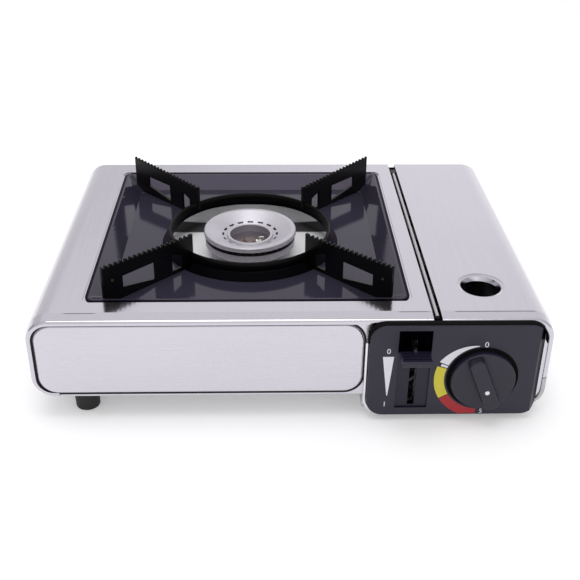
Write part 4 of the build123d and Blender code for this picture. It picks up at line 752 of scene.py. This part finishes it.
def deselect() -> None:
    """Leave edit mode and deselect everything."""
    if bpy.context.object and bpy.context.object.mode != "OBJECT":
        bpy.ops.object.mode_set(mode="OBJECT")
    bpy.ops.object.select_all(action="DESELECT")


def pick(piece: bpy.types.Object) -> None:
    """Make a piece the only selected one and the active one."""
    deselect()
    piece.select_set(True)
    bpy.context.view_layer.objects.active = piece


def line(name: str, first: Vector, last: Vector) -> bpy.types.Object:
    """Start a piece as a single edge, left in edit mode with the edge selected.

    Args:
        name: Name of the piece.
        first: One end of the edge, in metres.
        last: The other end.

    Returns:
        The new piece.
    """
    deselect()
    bpy.ops.mesh.primitive_plane_add(size=1.0)
    piece = bpy.context.object
    piece.name = name
    for vertex, spot in zip(piece.data.vertices, (first, last, first, last)):
        vertex.co = spot
    bpy.ops.object.mode_set(mode="EDIT")
    bpy.ops.mesh.select_all(action="SELECT")
    bpy.ops.mesh.remove_doubles(threshold=WELD)
    bpy.ops.mesh.delete(type="ONLY_FACE")
    bpy.ops.mesh.select_all(action="SELECT")
    return piece


def close_sheet(piece: bpy.types.Object, thickness: float) -> None:
    """Merge a swept sheet, turn its faces one way and give it a thickness, half on each side.

    Args:
        piece: Sheet in edit mode.
        thickness: Its thickness, in metres.
    """
    bpy.ops.mesh.select_all(action="SELECT")
    bpy.ops.mesh.remove_doubles(threshold=WELD)
    bpy.ops.mesh.normals_make_consistent(inside=False)
    pick(piece)
    wall = piece.modifiers.new("wall", "SOLIDIFY")
    wall.thickness = thickness
    wall.offset = 0.0
    bpy.ops.object.modifier_apply(modifier=wall.name)


def ease_edges(piece: bpy.types.Object, width: float) -> None:
    """Round a piece's sharp edges.

    Args:
        piece: Piece to finish.
        width: Width of the rounding, in metres.
    """
    pick(piece)
    edge = piece.modifiers.new("edge", "BEVEL")
    edge.width = width
    edge.segments = EDGE_STEPS
    edge.limit_method = "ANGLE"
    bpy.ops.object.modifier_apply(modifier=edge.name)
    bpy.ops.object.shade_smooth_by_angle(angle=SMOOTH_ANGLE)


@dataclass(frozen=True)
class Run:
    """Straight stretch of a swept strip."""

    way: tuple[float, float, float]

    def sweep(self) -> None:
        """Extrude the selected edge along the way."""
        bpy.ops.mesh.extrude_region_move(TRANSFORM_OT_translate={"value": self.way})


@dataclass(frozen=True)
class Turn:
    """Round stretch of a swept strip, clockwise from the front unless another axis is given."""

    angle: float
    centre: tuple[float, float, float]
    steps: int = 12
    axis: tuple[float, float, float] = (0.0, -1.0, 0.0)

    def sweep(self) -> None:
        """Spin the selected edge round the centre."""
        angle = math.radians(self.angle)
        bpy.ops.mesh.spin(steps=self.steps, angle=angle, center=self.centre, axis=self.axis)


class SubAssembly:
    """CAD nodes that belong together, with their finishes and the pieces added to them."""

    dressing: ClassVar[tuple[tuple[Finish, tuple[str, ...]], ...]] = ()

    def build(self, nodes: dict[str, bpy.types.Object]) -> None:
        """Dress the CAD nodes and add the pieces.

        Args:
            nodes: CAD objects by name.
        """
        for finish, names in self.dressing:
            for name in names:
                slots = nodes[name].data.materials
                slots.clear()
                slots.append(finish.material())
                LOG.info("finished %s in %s", name, finish.name)
        for piece in self.add():
            LOG.info("added %s", piece.name)

    def add(self) -> list[bpy.types.Object]:
        """Make the pieces that the CAD model leaves to this scene, which are few."""
        return []

    def own(
        self, piece: bpy.types.Object, finish: Finish, slot: str, body: str = "casing"
    ) -> bpy.types.Object:
        """Finish a piece and let it move with a body.

        Args:
            piece: New piece.
            finish: Its finish.
            slot: Material slot of the record that it belongs to; not used.
            body: Body that it moves with.

        Returns:
            The same piece.
        """
        piece.data.materials.clear()
        piece.data.materials.append(finish.material())
        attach(piece, body)
        return piece


class Casing(SubAssembly):
    """Steel casing: shell, lid, end plates, floor, hinge and feet."""

    dressing = (
        (SHELL_STEEL, ("top_shell", "cartridge_lid")),
        (FRONT_STEEL, ("front_panel",)),
        (REAR_STEEL, ("rear_panel",)),
        (ZINC, ("base_pan", "bay_partition", "cartridge_rails", "floor_screws")),
        (HINGE_STEEL, ("hinge_fixed_leaf", "hinge_lid_leaf", "hinge_pin")),
        (BLACK_PLASTIC, ("hinge_end_cap",)),
        (BLACK_RUBBER, ("foot_front_left", "foot_front_right")),
        (BLACK_RUBBER, ("foot_rear_left", "foot_rear_right")),
    )


@dataclass
class PanSupport(SubAssembly):
    """Drip tray with its four arms."""

    dressing = (
        (TRAY_ENAMEL, ("drip_tray",)),
        (ARM_ENAMEL, ("pan_arm_front_left", "pan_arm_front_right")),
        (ARM_ENAMEL, ("pan_arm_rear_left", "pan_arm_rear_right")),
    )

    bead_radius: float = 59.2 * MM
    bead_half_width: float = 1.7 * MM
    bead_half_height: float = 3.6 * MM
    bead_rise: float = 2.8 * MM
    bead_points: int = 20
    bead_steps: int = 144

    def add(self) -> list[bpy.types.Object]:
        """Make the rolled bead on the collar's crest.

        Returns:
            The finished pieces.
        """
        return [self.collar_bead()]

    def collar_bead(self) -> bpy.types.Object:
        """Spin an oval section round the burner's axis, a little higher than the tray's rim.

        Returns:
            The finished piece.
        """
        deselect()
        bpy.ops.mesh.primitive_circle_add(vertices=self.bead_points, radius=1.0)
        piece = bpy.context.object
        piece.name = "collar_bead"
        height = TRAY_HIGH.z + self.bead_rise - self.bead_half_height
        start = Vector((BURNER_AXIS.x + self.bead_radius, BURNER_AXIS.y, height))
        for vertex in piece.data.vertices:
            across = vertex.co.x * self.bead_half_width
            up = vertex.co.y * self.bead_half_height
            vertex.co = start + Vector((across, 0, up))
        bpy.ops.object.mode_set(mode="EDIT")
        bpy.ops.mesh.select_all(action="SELECT")
        Turn(360.0, tuple(BURNER_AXIS), self.bead_steps, (0.0, 0.0, 1.0)).sweep()
        bpy.ops.mesh.select_all(action="SELECT")
        bpy.ops.mesh.remove_doubles(threshold=WELD)
        bpy.ops.mesh.normals_make_consistent(inside=False)
        pick(piece)
        bpy.ops.object.shade_smooth()
        return self.own(piece, BEAD_ENAMEL, "black_enamel", "pan_support")


class Burner(SubAssembly):
    """Burner head with its stand, reflector and spark electrode."""

    dressing = (
        (BURNER_ALLOY, ("burner_cap", "mixing_tube")),
        (BOWL_ALLOY, ("burner_bowl",)),
        (PORT_STEEL, ("burner_port_ring",)),
        (CORE_STEEL, ("burner_core",)),
        (BRIGHT_STEEL, ("heat_reflector",)),
        (BENT_STEEL, ("burner_stand", "electrode_tip")),
        (CERAMIC, ("electrode_ceramic",)),
    )


class GasPath(SubAssembly):
    """Regulator, pipe, jet, cartridge seat and igniter inside the casing."""

    dressing = (
        (VALVE_ALLOY, ("regulator_body", "gas_pipe")),
        (BRASS, ("gas_jet", "valve_stem")),
        (BENT_STEEL, ("jet_bracket", "valve_bracket", "guide_pins", "cartridge_carriage")),
        (BLACK_RUBBER, ("cartridge_seal", "ignition_lead")),
        (BLACK_PLASTIC, ("piezo_igniter",)),
    )


class LockLever(SubAssembly):
    """Lever that pulls the cartridge home."""

    dressing = (
        (LEVER_BLACK, ("lever_arm",)),
        (PANEL_PLASTIC, ("lever_paddle",)),
        (BENT_STEEL, ("lever_pin", "lever_bracket")),
    )


@dataclass(frozen=True)
class DialBand:
    """Printed band of the dial, between two angles in degrees against the clock from the right.

    Its width runs from a first to a last share of the full width.
    """

    name: str
    start: float
    end: float
    ink: Finish
    first: float = 1.0
    last: float = 1.0


@dataclass(frozen=True)
class PrintedNumber:
    """Plain number on the panel, with its shift from a mark, in millimetres, and its height."""

    name: str
    digit: str
    shift: tuple[float, float, float]
    height: float


DIAL_BANDS = (
    DialBand("dial_band_white", 99.0, 156.0, WHITE_INK, first=0.06),
    DialBand("dial_band_tick", 157.5, 161.0, WHITE_INK, first=0.7, last=0.7),
    DialBand("dial_band_yellow", 162.5, 210.0, YELLOW_INK),
    DialBand("dial_band_red", 211.0, 266.0, RED_INK),
)
DIAL_NUMBERS = (
    PrintedNumber("dial_number_low", "0", (0.4, 0, 25.6), 4.2 * MM),
    PrintedNumber("dial_number_high", "5", (1.9, 0, -26.8), 3.6 * MM),
)
LEVER_NUMBERS = (
    PrintedNumber("lever_number_open", "0", (12.5, 0, 50.7), 4.0 * MM),
    PrintedNumber("lever_number_shut", "1", (11.9, 0, 9.1), 4.0 * MM),
)


@dataclass
class ControlPanel(SubAssembly):
    """Control panel with its knob, strips and ring of painted shade and highlight, and printed
    marks.
    """

    dressing = (
        (PANEL_PLASTIC, ("control_panel",)),
        (KNOB_PLASTIC, ("control_knob",)),
        (WHITE_PLASTIC, ("knob_index_dot",)),
    )

    box: Box = field(default_factory=lambda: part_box("control_panel"))
    dial: Vector = field(default_factory=lambda: middle("control_knob"))
    plate_y: float = field(default_factory=lambda: front_of("front_panel") + EMBOSS_RISE)
    corner: float = 11.0 * MM
    # Strip of painted shade over the panel's top edge.
    shade_strip_thickness: float = 0.7 * MM
    shade_strip_drop: float = 3.0 * MM
    shade_strip_inset: float = 0.5 * MM
    shade_strip_back: float = 1.4 * MM
    shade_strip_edge: float = 0.15 * MM
    # Strip of lighter steel, a painted highlight beside the panel.
    highlight_strip_thickness: float = 1.8 * MM
    highlight_strip_gap: float = 0.2 * MM
    highlight_strip_proud: float = 3.4 * MM
    highlight_strip_drop: float = 1.0 * MM
    highlight_strip_turn: float = -60.0
    highlight_strip_edge: float = 0.3 * MM
    # Ring of painted shadow round the knob.
    shadow_ring_inner: float = 20.0 * MM
    shadow_ring_outer: float = 23.6 * MM
    shadow_ring_steps: int = 96
    band_inner: float = 24.8 * MM
    band_outer: float = 31.4 * MM
    band_foot: float = 1.2 * MM
    band_step: float = 2.0
    band_least_steps: int = 4
    wedge_spot: tuple[float, float, float] = (8.9, 0, 46.7)
    wedge_width: float = 7.2 * MM
    wedge_lean: float = 0.6 * MM
    wedge_height: float = 30.5 * MM
    wedge_tip_share: float = 0.08
    type_share: float = 1.35
    film: float = 0.16 * MM

    @property
    def face_y(self) -> float:
        """Y of the panel's front face."""
        return self.box[0].y

    def add(self) -> list[bpy.types.Object]:
        """Make the strips and ring of painted shade and highlight, and the printed marks.

        Returns:
            The finished pieces.
        """
        return [
            self.top_shade_strip(),
            self.highlight_strip(),
            self.shadow_ring(),
            *(self.band(band) for band in DIAL_BANDS),
            self.wedge(),
            *(self.number(number, self.dial) for number in DIAL_NUMBERS),
            *(self.number(number, self.box[0]) for number in LEVER_NUMBERS),
        ]

    def top_shade_strip(self) -> bpy.types.Object:
        """Sweep a dark strip of painted shade over the panel's top edge and its two upper corners.

        Returns:
            The finished piece.
        """
        low, high = self.box
        lift = self.shade_strip_thickness / 2
        start = high.z - self.corner - self.shade_strip_drop
        y0 = self.face_y + self.shade_strip_inset
        y1 = self.plate_y - self.shade_strip_back
        x = low.x - lift
        piece = line("panel_top_shade_strip", Vector((x, y0, start)), Vector((x, y1, start)))
        height = high.z - self.corner
        steps = (
            Run((0, 0, self.shade_strip_drop)),
            Turn(90.0, (low.x + self.corner, 0, height)),
            Run((high.x - low.x - 2 * self.corner, 0, 0)),
            Turn(90.0, (high.x - self.corner, 0, height)),
            Run((0, 0, -self.shade_strip_drop)),
        )
        for step in steps:
            step.sweep()
        close_sheet(piece, self.shade_strip_thickness)
        ease_edges(piece, self.shade_strip_edge)
        return self.own(piece, SHADE_BLACK, "black_rubber")

    def highlight_strip(self) -> bpy.types.Object:
        """Sweep a strip of lighter steel along the panel's left side and its lower corner, a
        painted highlight along that edge.

        Returns:
            The finished piece.
        """
        low, high = self.box
        out = self.highlight_strip_gap + self.highlight_strip_thickness / 2
        x = low.x - out
        top = high.z - self.corner - self.shade_strip_drop - self.highlight_strip_drop
        y0 = self.plate_y - self.highlight_strip_proud
        piece = line("panel_highlight_strip", Vector((x, y0, top)), Vector((x, self.plate_y, top)))
        height = low.z + self.corner
        Run((0, 0, height - top)).sweep()
        Turn(self.highlight_strip_turn, (low.x + self.corner, 0, height)).sweep()
        close_sheet(piece, self.highlight_strip_thickness)
        ease_edges(piece, self.highlight_strip_edge)
        return self.own(piece, HIGHLIGHT_STEEL, "stainless")

    def shadow_ring(self) -> bpy.types.Object:
        """Spin a thin dark ring of painted shadow round the knob's foot.

        Returns:
            The finished piece.
        """
        y = self.face_y - self.film / 2
        first = Vector((self.dial.x + self.shadow_ring_inner, y, self.dial.z))
        width = self.shadow_ring_outer - self.shadow_ring_inner
        piece = line("knob_shadow_ring", first, first + Vector((width, 0, 0)))
        Turn(360.0, (self.dial.x, y, self.dial.z), self.shadow_ring_steps).sweep()
        close_sheet(piece, self.film)
        return self.own(piece, SHADE_BLACK, "black_rubber")

    def band(self, band: DialBand) -> bpy.types.Object:
        """Sweep one coloured band of the dial and narrow it along its sweep.

        Args:
            band: Its angles, widths and ink.

        Returns:
            The finished piece.
        """
        centre = Vector((self.dial.x, self.face_y, self.dial.z))
        start = math.radians(band.start)
        angle = band.end - band.start
        way = Vector((math.cos(start), 0, math.sin(start)))
        piece = line(band.name, centre + way * self.band_inner, centre + way * self.band_outer)
        steps = max(self.band_least_steps, int(angle / self.band_step))
        Turn(-angle, tuple(centre), steps).sweep()
        pick(piece)
        lowest = self.box[0].z + self.band_foot
        for vertex in piece.data.vertices:
            reach = vertex.co - centre
            swept = math.degrees(math.atan2(reach.z, reach.x)) % 360 - band.start
            width = band.first + (band.last - band.first) * swept / angle
            radius = self.band_inner + (reach.length - self.band_inner) * width
            vertex.co = centre + reach.normalized() * radius
            vertex.co.z = max(lowest, vertex.co.z)
        bpy.ops.object.mode_set(mode="EDIT")
        close_sheet(piece, self.film)
        return self.own(piece, band.ink, "white_plastic")

    def wedge(self) -> bpy.types.Object:
        """Make the tapered mark beside the lever.

        Returns:
            The finished piece.
        """
        first = self.box[0] + Vector(self.wedge_spot) * MM
        piece = line("lever_wedge", first, first + Vector((self.wedge_width, 0, 0)))
        Run((self.wedge_lean, 0, -self.wedge_height)).sweep()
        pick(piece)
        waist = first.z - self.wedge_height / 2
        lower = [vertex for vertex in piece.data.vertices if vertex.co.z < waist]
        tip = sum(vertex.co.x for vertex in lower) / len(lower)
        for vertex in lower:
            vertex.co.x = tip + (vertex.co.x - tip) * self.wedge_tip_share
        bpy.ops.object.mode_set(mode="EDIT")
        close_sheet(piece, self.film)
        return self.own(piece, WHITE_INK, "white_plastic")

    def number(self, number: PrintedNumber, mark: Vector) -> bpy.types.Object:
        """Print one plain number.

        Args:
            number: What it says, its shift and its height.
            mark: Point that the shift starts from, in metres.

        Returns:
            The finished piece.
        """
        deselect()
        spot = mark + Vector(number.shift) * MM
        spot.y = self.face_y
        bpy.ops.object.text_add(location=spot, rotation=(math.pi / 2, 0, 0))
        piece = bpy.context.object
        piece.name = number.name
        piece.data.body = number.digit
        piece.data.size = number.height * self.type_share
        piece.data.align_x = "CENTER"
        piece.data.align_y = "CENTER"
        piece.data.extrude = self.film / 2
        bpy.ops.object.convert(target="MESH")
        bpy.ops.object.transform_apply(location=True, rotation=True, scale=True)
        return self.own(piece, WHITE_INK, "white_plastic")


@dataclass(frozen=True)
class Studio:
    """Pale floor, soft light from all round and the camera."""

    floor: Colour = (0.94, 0.94, 0.94)
    floor_side: float = 9.0
    floor_roughness: float = 0.85
    floor_shine: float = 0.1
    glow: float = 0.26
    sky: Colour = (0.995, 0.99, 1.0)
    horizon: float = 1.25
    zenith_fall: float = 0.5
    side_fall: float = 0.5
    back_fall: float = 0.22
    back_sides: tuple[float, float] = (-0.1, 0.15)
    back_heights: tuple[float, float] = (0.4, 0.52)
    softbox_side: float = 0.9
    softbox_spot: Vector = Vector((-0.1, -0.1, 1.5))
    softbox_aim: Vector = Vector((0, 0, 0.05))
    softbox_power: float = 6.5
    eye: Vector = Vector((-0.01533, -0.61079, 0.38185))
    pitch: float = 30.016
    yaw: float = 1.631
    roll: float = 0.531
    lens: float = 57.08
    sensor: float = 36.0

    def build(self) -> None:
        """Make the floor, the light and the camera."""
        self.lay_floor()
        self.light_world()
        self.hang_softbox()
        self.set_camera()
        bpy.context.scene.view_settings.view_transform = "Standard"

    def lay_floor(self) -> None:
        """Lay a wide pale floor that shows white to the camera and keeps the shadow."""
        deselect()
        bpy.ops.mesh.primitive_plane_add(size=self.floor_side)
        floor = bpy.context.object
        floor.name = "floor"
        shader = Shader("pale_floor")
        shader.set(
            Base_Color=linear(self.floor),
            Roughness=self.floor_roughness,
            Specular_IOR_Level=self.floor_shine,
        )
        seen = shader.ray("Is Camera Ray").larger(shader.ray("Is Glossy Ray"))
        glow = shader.node("ShaderNodeEmission", {}, {"Strength": seen * self.glow})
        body = Wire(shader, shader.body.outputs[0])
        total = shader.node("ShaderNodeAddShader", {}, {0: body, 1: glow})
        shader.feed(shader.tree.nodes["Material Output"].inputs["Surface"], total)
        floor.data.materials.append(shader.material)

    def light_world(self) -> None:
        """Surround the object with soft light, bright in front and behind, darker at the sides."""
        world = bpy.data.worlds.new("studio")
        world.use_nodes = True
        bpy.context.scene.world = world
        sky = NodeTree(world.node_tree)
        way = sky.node("ShaderNodeTexCoord", {}, {}, "Generated")
        side = sky.part(way, "X")
        height = sky.part(way, "Z")
        level = (self.horizon - height * self.zenith_fall) * (1.0 - side * side * self.side_fall)
        left = sky.fall(side, *self.back_sides)
        dim = left * sky.spread(height, *self.back_heights, self.back_fall, 0.0)
        level = level * (1.0 - dim)
        seen = sky.ray("Is Camera Ray")
        back = world.node_tree.nodes["Background"]
        sky.feed(back.inputs["Strength"], level + seen * (1.0 - level))
        sky.feed(back.inputs["Color"], linear(self.sky))

    def hang_softbox(self) -> None:
        """Hang a square lamp above that faces the object."""
        lamp = bpy.data.lights.new("softbox_top", "AREA")
        lamp.shape = "SQUARE"
        lamp.size = self.softbox_side
        lamp.energy = self.softbox_power
        holder = bpy.data.objects.new("softbox_top", lamp)
        bpy.context.scene.collection.objects.link(holder)
        holder.location = self.softbox_spot
        aim = self.softbox_aim - self.softbox_spot
        holder.rotation_euler = aim.to_track_quat("-Z", "Y").to_euler()

    def set_camera(self) -> None:
        """Stand the camera where the picture was taken from."""
        pitch, yaw, roll = (math.radians(angle) for angle in (self.pitch, self.yaw, self.roll))
        heading = Vector((math.sin(yaw), math.cos(yaw), 0))
        ahead = heading * math.cos(pitch) - Vector((0, 0, math.sin(pitch)))
        level = Vector((math.cos(yaw), -math.sin(yaw), 0))
        rise = level.cross(ahead)
        right = level * math.cos(roll) + rise * math.sin(roll)
        up = rise * math.cos(roll) - level * math.sin(roll)
        lens = bpy.data.cameras.new("camera")
        lens.lens = self.lens
        lens.sensor_width = self.sensor
        holder = bpy.data.objects.new("camera", lens)
        bpy.context.scene.collection.objects.link(holder)
        turn = Matrix((right, up, -ahead)).transposed().to_4x4()
        holder.matrix_world = Matrix.Translation(self.eye) @ turn
        bpy.context.scene.camera = holder


def main() -> None:
    """Build the scene sub-assembly by sub-assembly."""
    logging.basicConfig(level=logging.INFO)
    for assembly in (Casing(), PanSupport(), Burner(), GasPath(), LockLever(), ControlPanel()):
        assembly.build(frame["nodes"])
    Studio().build()
    bpy.context.view_layer.update()


if __name__ == "__main__":
    main()
